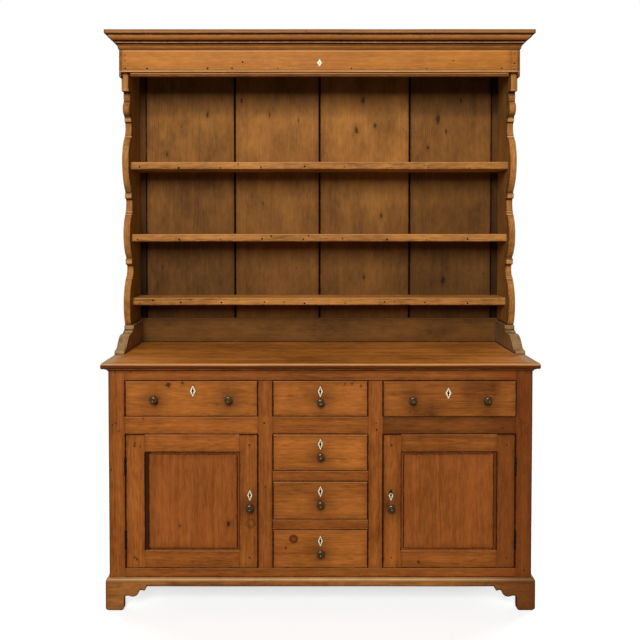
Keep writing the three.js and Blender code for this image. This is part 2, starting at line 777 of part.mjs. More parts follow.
function buildFrieze() {
  const front = board([-friezeHalf, friezeHalf], [friezeFront, rackFront], [friezeBottom, lidBottom]);
  const bead = board(
    [-rackInner, rackInner],
    [friezeFront + beadSetback, rackFront + beadSetback],
    [friezeBottom - beadHeight, friezeBottom + beadSetback],
  );
  const beadCut = board(
    [-rackInner, rackInner],
    [rackFront, rackFront + beadSetback + overrun],
    [friezeBottom, friezeBottom + beadSetback + overrun],
  );
  const returns = Object.values(sides).map((side) => onSide(side, friezeReturn()));
  add("frieze_board", cut(joined(front, bead, ...returns), beadCut), woods.cornice);

  const plate = new THREE.Shape();
  plate.moveTo(-friezePlateWidth / 2, 0);
  plate.lineTo(0, -friezePlateHeight / 2);
  plate.lineTo(friezePlateWidth / 2, 0);
  plate.lineTo(0, friezePlateHeight / 2);
  const middle = (friezeBottom + overallHeight - corniceHeight) / 2 - friezePlateDrop;
  const plateBoard = alongY(plate, [friezeFront - friezePlateThickness, friezeFront]);
  const raised = mapped(plateBoard, (x, y, z) => [x, y, z + middle]);
  add("frieze_key_plate", raised, [0xdcd0b4, 0.5]);
}

// The thin board that returns the frieze along the right side, with its outer bottom edge chamfered
function friezeReturn() {
  const bottom = friezeBottom - friezeReturnDrop;
  const up = [bottom, lidBottom];
  const strip = board([rackHalf, friezeHalf], [friezeFront, backPlane], up);
  const lip = board([friezeHalf - friezeReturnLip, friezeHalf], [friezeFront, rackFront], up);
  const corner = new THREE.Shape();
  corner.moveTo(friezeHalf - friezeReturnChamfer / 2, bottom - overrun);
  corner.lineTo(friezeHalf + overrun, bottom - overrun);
  corner.lineTo(friezeHalf + overrun, bottom + friezeReturnChamfer);
  corner.lineTo(friezeHalf, bottom + friezeReturnChamfer);
  corner.lineTo(friezeHalf - friezeReturnChamfer / 2, bottom);
  const chamfer = alongY(corner, [friezeFront - overrun, backPlane + overrun]);
  return cut(joined(strip, lip), chamfer);
}

function buildCornice() {
  const profile = profileOf(corniceShares, corniceProjection, corniceHeight);
  const stations = roundBody(friezeHalf, friezeFront, backPlane);
  const ring = moulding(profile, stations, overallHeight - corniceHeight);
  const lap = corniceProjection / 2;
  const lid = board(
    [-friezeHalf - lap, friezeHalf + lap],
    [friezeFront - lap, backPlane],
    [lidBottom, overallHeight],
  );
  add("cornice", joined(ring, lid), woods.cornice);
}

buildPlinth();
buildCarcass();
buildFaceFrame();
buildWorktop();
drawers.forEach(buildDrawer);
Object.keys(sides).forEach(buildDoor);
buildRack();
buildFrieze();
buildCornice();

group.updateMatrixWorld(true);
const extent = new THREE.Box3().setFromObject(group);
group.position.y = -(extent.min.y + extent.max.y) / 2;

export default group;
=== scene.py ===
"""A waxed pine dresser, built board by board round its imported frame, in metres.

The front faces -Y and the feet stand on Z = 0. Every board is a rounded rectangle carried along its grain, and
each of its points knows where it lies in the timber, how worn it is and how far it is from the board's edge."""

import json
import math
import zlib
from functools import partial

import bpy
import numpy as np
from bpy.props import FloatProperty, FloatVectorProperty, PointerProperty
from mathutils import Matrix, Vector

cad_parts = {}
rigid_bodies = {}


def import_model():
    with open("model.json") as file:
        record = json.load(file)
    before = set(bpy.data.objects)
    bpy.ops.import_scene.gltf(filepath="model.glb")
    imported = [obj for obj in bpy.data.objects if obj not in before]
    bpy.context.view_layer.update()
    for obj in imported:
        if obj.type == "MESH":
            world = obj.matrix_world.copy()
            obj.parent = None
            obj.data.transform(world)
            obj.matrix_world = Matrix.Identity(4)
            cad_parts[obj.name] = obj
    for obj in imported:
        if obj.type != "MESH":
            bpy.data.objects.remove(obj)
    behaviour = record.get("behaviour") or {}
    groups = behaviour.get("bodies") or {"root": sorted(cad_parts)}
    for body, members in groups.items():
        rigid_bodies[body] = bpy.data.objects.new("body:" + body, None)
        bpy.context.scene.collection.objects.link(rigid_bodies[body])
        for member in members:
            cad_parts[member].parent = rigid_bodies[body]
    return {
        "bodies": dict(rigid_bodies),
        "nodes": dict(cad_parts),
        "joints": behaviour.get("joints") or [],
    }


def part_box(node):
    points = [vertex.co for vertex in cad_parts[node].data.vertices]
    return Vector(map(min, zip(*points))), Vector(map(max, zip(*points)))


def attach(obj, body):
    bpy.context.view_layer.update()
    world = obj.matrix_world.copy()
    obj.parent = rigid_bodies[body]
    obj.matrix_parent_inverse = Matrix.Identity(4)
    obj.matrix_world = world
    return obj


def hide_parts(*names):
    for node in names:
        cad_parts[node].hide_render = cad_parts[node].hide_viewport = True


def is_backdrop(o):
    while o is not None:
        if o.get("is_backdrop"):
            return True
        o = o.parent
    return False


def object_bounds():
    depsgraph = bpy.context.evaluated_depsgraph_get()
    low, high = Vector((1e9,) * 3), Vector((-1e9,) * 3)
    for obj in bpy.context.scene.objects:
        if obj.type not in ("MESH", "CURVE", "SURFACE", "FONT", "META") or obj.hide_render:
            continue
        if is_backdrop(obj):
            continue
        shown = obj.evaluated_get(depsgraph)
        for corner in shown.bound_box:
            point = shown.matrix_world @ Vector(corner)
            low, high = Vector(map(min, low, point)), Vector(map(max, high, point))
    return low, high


bl_info = {
    "name": "Pine Dresser",
    "version": (1, 0, 0),
    "blender": (4, 5, 0),
    "location": "View3D > Sidebar > Dresser",
    "description": "Builds a waxed pine dresser piece by piece, and the plain studio round it",
    "category": "Object",
}

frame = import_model()

X, Y, Z = 0, 1, 2
SIDES = {"left": -1, "right": 1}
BODY = "dresser"


def extent(node):
    """The lowest and the highest corner of a frame node as arrays"""
    low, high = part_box(node)
    return np.array(low), np.array(high)


def middle_of(node):
    """The middle of a frame node's box"""
    return sum(extent(node)) / 2


def tint(red, green, blue):
    """A colour named by its 0 to 255 screen values, as the linear values that shaders use"""
    return tuple((((v / 255 + 0.055) / 1.055) ** 2.4 if v > 10 else v / 3295) for v in (red, green, blue))


drawer_names = ["left", "right", *(f"centre_{row}" for row in range(1, 5))]
shelf_names = ["top", "middle", "bottom"]

# Sizes of the base in metres. A share is a part of the size of the piece that it divides.
base_side_thickness = 0.022
base_side_joint_share = 0.47
base_bottom_joint_share = 0.55
base_back_shares = (-0.6, -0.2, 0.2, 0.6)
base_back_gap = 0.0015
partition_thickness = 0.020
runner_height = 0.022
runner_grip = 0.014
guide_height = 0.020
guide_gap = 0.001
sit_gap = 0.0008
peg_radius = 0.003
peg_offset = (0.004, 0.009)
worktop_joints = (0.158, 0.302)
worktop_nose = 0.0078
worktop_end_arris = 0.003
fine_nibble = 0.0006
plinth_thickness = 0.022
plinth_arch_height = 0.086
plinth_rounding = 0.0108
plinth_corner = [(0, 0.008), (0.0014, 0.004), (0.004, 0.0014), (0.008, 0)]
bracket_length = 0.149

# Sizes of the drawers, the doors and their fittings
front_thickness = 0.020
wall_thickness = 0.011
wall_drop = 0.006
drawer_back_drop = 0.004
drawer_bottom_thickness = 0.007
drawer_bottom_rise = 0.008
dovetail_pitch = 0.036
dovetail_reach = (-0.014, 0.0005)
dovetail_depth = 0.004
dovetail_proud = 0.0002
dovetail_shares = (0.4, 0.29)
door_stile_width = 0.065
door_rail_width = 0.063
door_peg_radius = 0.0032
door_peg_shares = (0.45, 0.6)
panel_channel = 0.007
panel_plate_thickness = 0.0062
panel_plate_cut = 0.004
hinge_stile_width = {"left": 0.068, "right": 0.065}
hinge_channel = {"left": 0.0125, "right": 0.0095}
hinge_barrel_radius = 0.004
hinge_running_gap = 0.00015
hinge_leaf_thickness = 0.0008
hinge_leaf_half_gap = 0.001
hinge_leaf_span = (0.0045, 0.021)
knob_radius = 0.014
knob_projection = 0.026
knob_seat_gap = 0.0003
knob_spindle_radius = 0.004
knob_spindle_length = 0.012
# Key plates: how far the middle lies under a drawer's top or over a door's knob, its place across as a share of the
# drawer's, and the heights over and under the middle as shares of a plate's, for the plate and for the dirt round it
key_plate_drops = {"left": 0.034, "right": 0.041, "centre_1": 0.036, "centre_4": 0.037}
usual_plate_drop = 0.0335
door_plate_rise = 0.027
plate_inwards = 0.989
plate_up, plate_down, worn_plate_up = 0.48, 0.52, 0.26
seat_shares = (0.53, 0.56)
seat_margin = 0.0014
plate_least_width = 0.0006
lock_depths = (-0.0002, 0.0004)
# The slots below and above a keyhole's round as (half width, length), and the lozenge's slit as (up, down, half width)
keyhole_radius = 0.004
keyhole_slots = ((0.0018, 0.0115), (0.0015, 0.0105))
frieze_slit = (0.003, 0.0045, 0.0016)

# Sizes of the rack, the frieze and the cornice
rack_depth = 0.176
rack_foot_pad = 0.010
quirk_shares = (0.6865, 0.443, 0.4351, 0.2269)
quirk_half_height = 0.0017
quirk_proud = 0.0004
quirk_reach = (-0.001, 0.006)
back_board_shares = (-0.93, -0.452, 0.004, 0.489, 0.929)
narrow_board_gap = 0.0018
tongue_depths = (0.006, 0.005)
tongue_drop = 0.001
hook_pitch = 0.1635
hook_start = -0.718
hook_hole_radius = 0.0029
hook_hole_proud = 0.0001
hook_count = 9
second_hook_share = 0.35
shelf_nibble = 0.0009
frieze_thickness = 0.018
frieze_height = 0.140
frieze_patch = 0.027
bead_height = 0.015
bead_setback = 0.006
bead_radii = (0.004, 0.001, 0.001, 0.003)
bead_nibble = 0.0018
return_thickness = 0.004
return_lip = 0.009
cornice_projection = 0.045
cornice_height = 0.065
lid_thickness = 0.012
lid_joint_share = 0.52

# Radii of the long edges, from fresh to worn
hinge_leaf_arris = 0.0001
tongue_arris = 0.0003
flush_arris = 0.0004
joint_side_arris = 0.0005
hidden_arris = 0.0006
strip_arris = 0.0008
back_arris = 0.001
frame_arris = 0.0011
frieze_arris = 0.0012
foot_sole_arris = 0.0012
rail_arris = 0.0013
door_arris = 0.0014
back_rail_arris = 0.0015
drawer_arris = 0.0016
shelf_arris = 0.0018
field_arris = 0.0019
return_end_arris = 0.002
foot_arris = 0.0024

# Outlines as shares of the sizes above. A row of one pair ends a straight line, of two or three pairs a curve.
bracket_shares = [
    [(0.389, 0)], [(0.433, 0.01), (0.433, 0.163)], [(0.433, 0.465)], [(0.44, 0.6), (0.51, 0.607)], [(0.55, 0.607)],
    [(0.604, 0.558), (0.752, 0.506), (0.802, 0.777)], [(0.81, 0.826), (0.832, 0.84)], [(0.879, 0.843)],
    [(0.899, 0.797), (0.953, 0.797), (0.963, 0.93)], [(0.966, 1), (1, 1)],
]
rack_edge_shares = [
    [(0, 1)], [(0, 0.8286)], [(0.165, 0.8286)], [(0.1307, 0.8131), (0.1761, 0.7984)],
    [(0.0443, 0.7853), (0.0443, 0.7608), (0.2017, 0.7535)], [(0.2244, 0.7494)], [(0.2244, 0.7347)], [(0.2784, 0.7339)],
    [(0.3352, 0.7086), (0.233, 0.6865)], [(-0.0795, 0.6498), (-0.0795, 0.5518), (0.2727, 0.5061)], [(0.2188, 0.502)],
    [(0.2188, 0.4873)], [(0.3199, 0.4849)], [(0.3409, 0.4588), (0.2483, 0.4351)],
    [(0.0108, 0.3984), (0.0108, 0.3257), (0.3148, 0.2931)], [(0.2415, 0.2873)], [(0.2415, 0.2727)], [(0.3676, 0.2682)],
    [(0.4091, 0.2441), (0.2727, 0.2269)], [(0.0074, 0.1861), (0.0074, 0.111), (0.1778, 0.0751)],
]
rack_foot_shares = [
    [(0.1778, 0.0751)], [(0.1051, 0.0735)], [(0.1051, 0.0596)], [(0.0017, 0.0555)], [(0.0017, 0.0514)],
    [(-0.17, 0.0514)], [(-0.275, 0.0506), (-0.35, 0.0408)], [(-0.44, 0.0294), (-0.485, 0.02)],
    [(-0.525, 0.0125), (-0.62, 0.0118)], [(-0.682, 0.0113), (-0.682, 0.008)], [(-0.682, 0)],
]
cornice_shares = [
    [(0, 0)], [(0.05, 0)], [(0.08, 0.2), (0.24, 0.31)], [(0.33, 0.32)], [(0.33, 0.42)], [(0.36, 0.44)],
    [(0.5, 0.47), (0.76, 0.52), (0.83, 0.74)], [(0.86, 0.765)], [(1, 0.77)], [(1, 0.815)], [(1, 0.86)], [(1, 0.9)],
    [(1, 1)], [(0, 1)],
]
# Tones painted up the cornice, as (share of its height, tone): painted highlights where its curves face the light,
# painted shade in its hollows and under its curves, and darker grime on the fascia at the top
cornice_shade_and_grime_stripes = [
    (0, -1.4), (0.06, -2.2), (0.085, -2.2), (0.1, -0.8), (0.125, 0.4), (0.17, 0.6), (0.185, -1.6), (0.27, -2.0),
    (0.285, -3.4), (0.315, -3.5), (0.33, -1.0), (0.37, -0.3), (0.41, -0.2), (0.43, -3.0), (0.465, -2.6), (0.48, 1.4),
    (0.53, 1.8), (0.6, 1.7), (0.68, 2.0), (0.72, 4.0), (0.74, 3.0), (0.755, -2.6), (0.81, -2.2), (0.83, 0.2),
    (0.87, 0.5), (0.9, -1.0), (1, -1.4),
]
# Painted light on the moulding under the worktop, which lifts it out of the shadow of the worktop's overhang, as
# (height, tone)
under_moulding_painted_light = [(0, 5), (0.004, 7.5), (0.01, 13)]
under_moulding_shares = [
    [(0, 0)], [(0.2, 0)], [(0.25, 0.6), (0.9, 0.75)], [(1, 0.75)], [(1, 1)], [(0, 1)],
]
knob_shares = [
    [(0.64, 0)], [(0.66, 0.05)], [(0.6, 0.09), (0.44, 0.14)], [(0.3, 0.2), (0.32, 0.34)], [(0.36, 0.44), (0.62, 0.45)],
    [(0.8, 0.45), (0.8, 0.5)], [(0.98, 0.52), (1, 0.66)], [(1, 0.86), (0.64, 0.93)], [(0.36, 0.95), (0.3, 0.9)],
    [(0.22, 0.88), (0.2, 0.94)], [(0.16, 1), (0.02, 1)],
]

# Knots and dark marks in the timber as (x, z, radius)
back_knots = [
    (0.184, 1.897, 0.007), (0.158, 1.772, 0.009), (0.234, 1.788, 0.009), (0.498, 1.815, 0.011), (0.594, 1.892, 0.006),
    (0.532, 1.765, 0.005), (-0.466, 1.834, 0.006), (-0.323, 1.892, 0.006), (-0.206, 1.834, 0.0035),
    (-0.086, 1.811, 0.0035), (-0.235, 1.464, 0.004), (-0.658, 1.196, 0.005), (-0.636, 1.671, 0.005),
    (0.522, 1.143, 0.01), (0.19, 1.156, 0.005), (0.457, 1.697, 0.005), (0.261, 1.412, 0.006),
]
base_marks = [
    (-0.63, 0.686, 0.004), (-0.66, 0.597, 0.003), (-0.661, 0.585, 0.004), (-0.656, 0.179, 0.005), (-0.74, 0.661, 0.003),
    (-0.717, 0.64, 0.003), (0.351, 0.169, 0.004), (0.2, 0.644, 0.0035), (0.648, 0.649, 0.004), (-0.746, 0.5, 0.0035),
    (-0.673, 0.851, 0.003), (-0.197, 0.439, 0.003),
]
drawer_knots = [
    (-0.54, 0.807, 0.009), (-0.49, 0.811, 0.005), (0.087, 0.808, 0.0035), (0.112, 0.808, 0.0035), (0.144, 0.8, 0.0035),
    (-0.368, 0.736, 0.003), (0.318, 0.711, 0.003),
]
low_knots = [(-0.123, 0.219, 0.004)]
panel_knots = [(-0.502, 0.298, 0.004), (-0.328, 0.305, 0.008)]
# Dark stains of many hands on the right drawer as (x, z), and a red one on the left door with radius and strength
handling_stains = [(0.536, 0.773), (0.565, 0.782), (0.607, 0.788), (0.335, 0.735), (0.388, 0.717), (0.59, 0.735)]
red_stain = (-0.248, 0.308, 0.017, 0.3)
# Nails in the frieze as (x, heights above its lower edge), and one filled hole as (x, height, radius)
filled_hole = (-0.4355, 0.0135, 0.0055)
frieze_nails = [
    *((x, (0.0135,)) for x in (-0.67, -0.34, -0.163, 0.124, 0.417, 0.709)),
    (-0.299, (0.038,)), (-0.756, (0.0135, 0.042, 0.063)), (0.758, (0.01, 0.0325, 0.07)),
]
# Widths of the key plates that aren't narrowed in the usual way, as shares of the widest
plate_widths = {"left": 1.0, "right": 1.0, "door_right": 0.78}
usual_plate_width = 0.83
# Strips of colour as (axis, centre, half width, share, screen colour), some with how far back they reach. Most of them
# paint light and shade, as said over each list
# On the frieze and the cornice: painted highlights along edges and fillets, painted shade lines in the quirks and under
# the bead, and three broad bands of colour
frieze_shading_and_colour_bands = [
    (Z, 2.0543, 0.0015, 0.75, (84, 44, 14)), (Z, 2.049, 0.0015, 0.5, (232, 166, 98)),
    (Z, 1.9712, 0.0022, 0.85, (250, 190, 122)), (Z, 2.0804, 0.0019, 0.45, (226, 190, 164)),
    (Z, 1.9768, 0.0009, 0.6, (104, 54, 20)), (Z, 1.9637, 0.0018, 0.5, (220, 152, 92)),
    (Z, 1.9588, 0.0017, 0.95, (84, 30, 6)), (Z, 1.9543, 0.0018, 0.8, (244, 166, 98)),
    (Z, 2.0955, 0.0085, 0.3, (190, 128, 84)), (Z, 2.066, 0.01, 0.25, (150, 96, 56)),
    (Z, 2.1135, 0.0065, 0.35, (172, 130, 96)),
]
# On the worktop's nose: worn pale ends, a painted highlight along its top and painted shade on its lower half
nose_wear_and_shading_bands = [
    (X, 0.79, 0.055, 0.7, (184, 150, 110)), (X, -0.79, 0.055, 0.8, (194, 158, 116)),
    (Z, 0.8815, 0.0016, 0.5, (240, 182, 122), 0.2), (Z, 0.8713, 0.0073, 0.95, (88, 36, 8), 0.2),
]
# On the plinth: a pale band along its rounded top edge, wear and a painted highlight, and a darker right end
plinth_highlight_and_dark_end_bands = [
    (Z, 0.1103, 0.0021, 0.9, (244, 196, 140)), (Z, 0.1092, 0.0058, 0.3, (190, 148, 98)),
    (X, 0.83, 0.2, 0.4, (136, 60, 20), -0.17),
]
# On the base: a darker right end, and painted shade on the top rail just under the moulding
base_shade_and_dark_end_bands = [(X, 0.83, 0.2, 0.35, (136, 60, 22), -0.17), (Z, 0.852, 0.008, 0.25, (84, 44, 14))]
# On the rack's sides: a greener tint on the inner faces that sets the colour of their shade, and painted highlights and
# painted shade lines at the quirks of the front edges
side_light_and_shade_bands = [
    (X, -0.746, 0.004, 0.4, (136, 122, 62)), (X, 0.746, 0.004, 0.25, (130, 112, 58)),
    (Z, 1.725, 0.0075, 0.55, (96, 52, 18), 0.108), (Z, 1.725, 0.0018, 0.8, (236, 188, 128), 0.108),
    (Z, 1.4218, 0.011, 0.5, (96, 52, 18), 0.115), (Z, 1.4267, 0.0017, 0.7, (226, 176, 116), 0.115),
    (Z, 1.417, 0.0017, 0.7, (226, 176, 116), 0.11), (Z, 1.162, 0.0085, 0.55, (96, 52, 18), 0.115),
    (Z, 1.1655, 0.0017, 0.6, (210, 160, 104), 0.115), (Z, 1.159, 0.0017, 0.6, (210, 160, 104), 0.11),
]
# The fillets on the rack sides' front edges as (height, depth behind which they fade): a painted highlight band between
# two lines of painted shade in the quirks
fillets = [(1.793, 0.106), (1.49, 0.105), (1.227, 0.109)]
side_light_and_shade_bands += [
    (Z, z + step, 0.0024, 0.6, (80, 42, 14), depth) for z, depth in fillets for step in (0.0105, -0.0105)
]
side_light_and_shade_bands += [(Z, z, 0.005, 0.4, (214, 166, 112), depth) for z, depth in fillets]

# Tones of boards: 0 is the usual one, a higher one is paler
frame_tones = {
    "stile_left": 0.2, "stile_right": -1.1, "muntin_left": 0.5, "muntin_right": 0.6, "top_rail": -0.3,
    "bottom_rail": 0.2, "waist_rail_left": 1.0, "waist_rail_centre": 0.2, "waist_rail_right": -1.7,
    "drawer_rail_1": 0.1, "drawer_rail_2": 0.1,
}
drawer_tones = {"left": 0.3, "right": -0.4, "centre_1": 0.4, "centre_2": 1.0, "centre_3": 0.3, "centre_4": 0.4}
# Of a door's two stiles from left to right, and of its lower and upper rail
door_stile_tones = {"left": (0.9, 0.5), "right": (0.4, -0.9)}
door_rail_tones = {"left": (0.6, 1.2), "right": (0.0, -0.2)}
panel_tone = 0.4
# Of the worktop's boards from the front, and of the back boards from left to right. The rack back's darker end boards
# are painted shade from the rack's sides
worktop_tones = (0.5, 0.8, -0.5)
base_back_tones = (0, 0.4, -0.3, 0.2, -0.2)
rack_back_tones = (-1.7, 0.3, 1.15, 1.45, -0.65, -2.7)
rack_foot_tones = {"left": 0, "right": -0.9}
# The quirk beads' paler tone is a painted highlight, and the back rail's dark tone is painted shade under the bottom
# shelf
rack_side_tone, quirk_highlight_tone, shelf_tone, back_rail_shade_tone = 1.2, 1.5, 1.9, -2.1
frieze_tones = (0.1, -0.1)
return_tones = (-0.1, -0.2)
bead_tone = -0.6
lid_tone = -0.8
# Finish and tone of the two parts of the plate behind a panel's field, the hinges' side first. Their dark finish and
# low tones paint dirt and the shade in the recessed channel
panel_plates = {
    "left": (("pine_channel", -2.0), ("pine_panel", -0.9)), "right": (("pine_panel", -2.4), ("pine_panel", -0.9)),
}
# How much painted shade darkens each board of the rack's back downwards into the lower bays, with the share of it by
# height, and a painted shadow of the frieze near the top
rack_back_shade_falls = (1.75, 2.05, 2.0, 2.5, 1.3, 0.85)
bay_shade_by_height = (1.0, 1.2, 1.45, 1.72), (1.6, 1.3, 0.8, 0)
frieze_shadow_by_height = (1.83, 1.85), (0, 0.9)
# Tone over the plinth's front, from left to right
plinth_tones = (-0.75, -0.6, 0.4, 0.75), (-0.5, 0.1, 0.2, -1.9)
# Wear of the four long edges where it isn't the usual one; as there, the pale and the dirty arrises also paint light
# and shade
nose_rubbed = (0.2, 0.2, 0.2, 1)
rack_side_rubbed = {"left": (0.9, 0.15, 0.8, 0.8), "right": (0.15, 0.9, 0.8, 0.8)}
rack_foot_rubbed = (0.8, 0.8, 0.8, 0.8)
quirk_rubbed = (0.8, 0, 0, 1)
bead_rubbed = (0.7, 0, 0, 1)

# Sections of small turned or bevelled pieces: a key plate from its hole to its rim and the frieze's lozenge from its
# rim inwards as shares of (width, thickness), a hinge's knuckle as (share of radius, height from its nearer end), and
# a nail's head as (share of radius, height)
plate_section = [(0, 0), (0, 0.9), (0.08, 1), (0.35, 1), (0.7, 1), (0.93, 1), (1, 0.7), (1, 0)]
lozenge_section = [(1, 0), (1, 0.75), (0.93, 1), (0.6, 1), (0.25, 1)]
knuckle_section = [(0.3, 0), (0.86, 0), (1, 0.0006), (1, -0.0006), (0.86, 0), (0.3, 0)]
nail_section = [(0.9, -0.002), (1, -0.0001), (0.96, 0.0002), (0.6, 0.0005), (0.15, 0.0006)]

# Places and sizes of the lamps, the point that they face, and half the floor's width
key_place, key_size = (-0.95, -7.6, 5.1), (3.0, 4.4)
fill_place, fill_size = (0.9, -3.6, 1.5), (1.6, 1.6)
rear_place, rear_size = (4.6, 3.6, 2.8), (3.0, 3.0)
lit_point = (0, 0.1, 1.0)
floor_half = 8


class DresserSizes(bpy.types.PropertyGroup):
    """Small sizes of the finish that a user may change"""

    arris: FloatProperty(
        name="Arris", description="Radius that wear has given the boards' edges", default=0.0016, unit="LENGTH"
    )
    joint_arris: FloatProperty(
        name="Joint arris", description="Radius of the edges at a flush joint", default=0.0004, unit="LENGTH"
    )
    wobble: FloatProperty(
        name="Wobble", description="How far old boards stray from a flat plane", default=0.0005, unit="LENGTH"
    )
    nail_radius: FloatProperty(name="Nail", description="Radius of a nail's head", default=0.0027, unit="LENGTH")
    plate_width: FloatProperty(
        name="Key plate width", description="Width of a bone key plate", default=0.0225, unit="LENGTH"
    )
    plate_height: FloatProperty(
        name="Key plate height", description="Height of a bone key plate", default=0.042, unit="LENGTH"
    )
    plate_thickness: FloatProperty(
        name="Key plate rise", description="How proud a key plate stands", default=0.0009, unit="LENGTH"
    )
    board_gap: FloatProperty(
        name="Board gap", description="Gap that shrinkage opened between the back boards", default=0.0055, unit="LENGTH"
    )


class DresserColours(bpy.types.PropertyGroup):
    """Colours of the waxed pine and its fittings"""

    cornice: FloatVectorProperty(
        name="Cornice", description="Golden pine of the cornice", subtype="COLOR", default=tint(184, 116, 46)
    )
    rack: FloatVectorProperty(
        name="Rack", description="Pine of the rack's sides and shelves", subtype="COLOR", default=tint(161, 108, 52)
    )
    back: FloatVectorProperty(
        name="Back", description="Browner pine of the back boards", subtype="COLOR", default=tint(141, 93, 41)
    )
    worktop: FloatVectorProperty(
        name="Worktop", description="Rubbed pine of the worktop", subtype="COLOR", default=tint(178, 110, 44)
    )
    base: FloatVectorProperty(
        name="Base", description="Red brown pine of the base", subtype="COLOR", default=tint(152, 86, 34)
    )
    plinth: FloatVectorProperty(
        name="Plinth", description="Scuffed pine of the plinth", subtype="COLOR", default=tint(164, 103, 50)
    )
    drawer: FloatVectorProperty(
        name="Drawers", description="Orange pine of the drawer fronts", subtype="COLOR", default=tint(166, 97, 39)
    )
    panel: FloatVectorProperty(
        name="Panels", description="Pine of the door panels", subtype="COLOR", default=tint(147, 81, 33)
    )
    foot: FloatVectorProperty(
        name="Rack feet", description="Grey pine of the rack's feet", subtype="COLOR", default=tint(172, 136, 92)
    )
    inside: FloatVectorProperty(
        name="Inside", description="Dry, unwaxed pine of the inside", subtype="COLOR", default=tint(150, 110, 66)
    )
    bronze: FloatVectorProperty(
        name="Bronze", description="Dark bronze of the knobs", subtype="COLOR", default=tint(126, 99, 66)
    )
    iron: FloatVectorProperty(
        name="Iron", description="Blackened iron of hinges and nails", subtype="COLOR", default=tint(34, 25, 19)
    )
    bone: FloatVectorProperty(
        name="Bone", description="Polished bone of the key plates", subtype="COLOR", default=tint(255, 236, 194)
    )


class StudioSettings(bpy.types.PropertyGroup):
    """Camera, lamps and floor"""

    lens: FloatProperty(name="Lens", description="Focal length on a 36 mm sensor", default=38.14, unit="CAMERA")
    camera_distance: FloatProperty(
        name="Distance", description="Camera's distance in front of the origin", default=2.6125, unit="LENGTH"
    )
    camera_height: FloatProperty(
        name="Height", description="Camera's height above the floor", default=1.361, unit="LENGTH"
    )
    camera_side: FloatProperty(
        name="Side step", description="Camera's place across the front", default=-0.037, unit="LENGTH"
    )
    camera_tilt: FloatProperty(
        name="Tilt", description="How far the camera looks down", default=math.radians(1.25), unit="ROTATION"
    )
    camera_shift: FloatVectorProperty(
        name="Shift", description="Lens shift across and up as a share of the frame", default=(0.0156, -0.1203), size=2
    )
    key_power: FloatProperty(
        name="Key lamp", description="Power of the lamp above the camera", default=700.0, unit="POWER"
    )
    fill_power: FloatProperty(
        name="Fill lamp", description="Power of the lamp beside the camera", default=1.2, unit="POWER"
    )
    rear_power: FloatProperty(
        name="Rear lamps", description="Power of each of the two lamps behind the dresser", default=260.0, unit="POWER"
    )
    sky: FloatProperty(name="Sky", description="Strength of the light from all round", default=0.008)


def curve(rows, width, height, steps):
    """Points along rows of (across, up) shares: one pair ends a line, two pairs a quadratic and three a cubic
    Bezier, whose points are the sums of the control points times Bernstein's weights."""
    scale = np.array([width, height])
    points = [np.array(rows[0][0]) * scale]
    t = np.linspace(0, 1, steps + 1)[1:, None]
    for row in rows[1:]:
        a = points[-1]
        b, c, d = ([np.array(pair) * scale for pair in row] + [None] * 2)[:3]
        if len(row) == 1:
            points.append(b)
        elif len(row) == 2:
            points.extend((1 - t) ** 2 * a + 2 * t * (1 - t) * b + t**2 * c)
        else:
            points.extend((1 - t) ** 3 * a + 3 * t * (1 - t) ** 2 * b + 3 * t**2 * (1 - t) * c + t**3 * d)
    return np.array(points)


def ripple(points, size, seed):
    """Soft waves between about -1 and 1: the mean of eight sines whose directions and phases come from the seed"""
    draw = np.random.default_rng(seed)
    directions = draw.normal(size=(8, points.shape[-1])) / size
    return np.sin(points @ directions.T + draw.uniform(0, 2 * math.pi, 8)).mean(-1) * 1.8


box_low, box_high = (np.array(corner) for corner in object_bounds())


def strayed(points, amount):
    """Points moved by slow waves that all boards share, so that flush joints stay flush, and never out of the box"""
    waves = np.stack([ripple(points, 0.22, axis + 1) for axis in (X, Y, Z)], -1) * amount
    room = np.clip(np.minimum(points - box_low, box_high - points), 0, None)
    return points + np.clip(waves, -room, room)


def stations(path, radius=0.0014, longest=0.012):
    """Stations along an open (depth, height) path: each corner sharper than 20 degrees becomes three points of a
    quadratic curve with one more point on either side, and no stretch is longer than longest. Returns the heights,
    which never fall, and the depths."""
    step = np.diff(path, axis=0)
    length = np.maximum(np.linalg.norm(step, axis=1), 1e-9)[:, None]
    direction = step / length
    turn = np.arccos(np.clip((direction[1:] * direction[:-1]).sum(1), -1, 1))[:, None]
    reach = np.minimum(radius, np.minimum(length[1:], length[:-1]) / 3) * (turn > 0.35)
    corner, before, after = path[1:-1], direction[:-1] * reach, direction[1:] * reach
    middle = corner + (after - before) / 4
    parts = [corner - 1.4 * before, corner - before, middle, corner + after, corner + 1.4 * after]
    path = np.concatenate([path[:1], np.stack(parts, 1).reshape(-1, 2), path[-1:]])
    size = np.linalg.norm(np.diff(path, axis=0), axis=1)
    path = path[np.concatenate([[True], size > 1e-6])]
    counts = np.maximum(1, np.ceil(np.linalg.norm(np.diff(path, axis=0), axis=1) / longest)).astype(int)
    starts = np.repeat(path[:-1], counts, 0)
    spans = np.repeat(np.diff(path, axis=0) / counts[:, None], counts, 0)
    place = np.concatenate([np.arange(n) for n in counts])[:, None]
    points = np.concatenate([starts + spans * place, path[-1:]])
    return np.maximum.accumulate(points[:, 1]), points[:, 0]


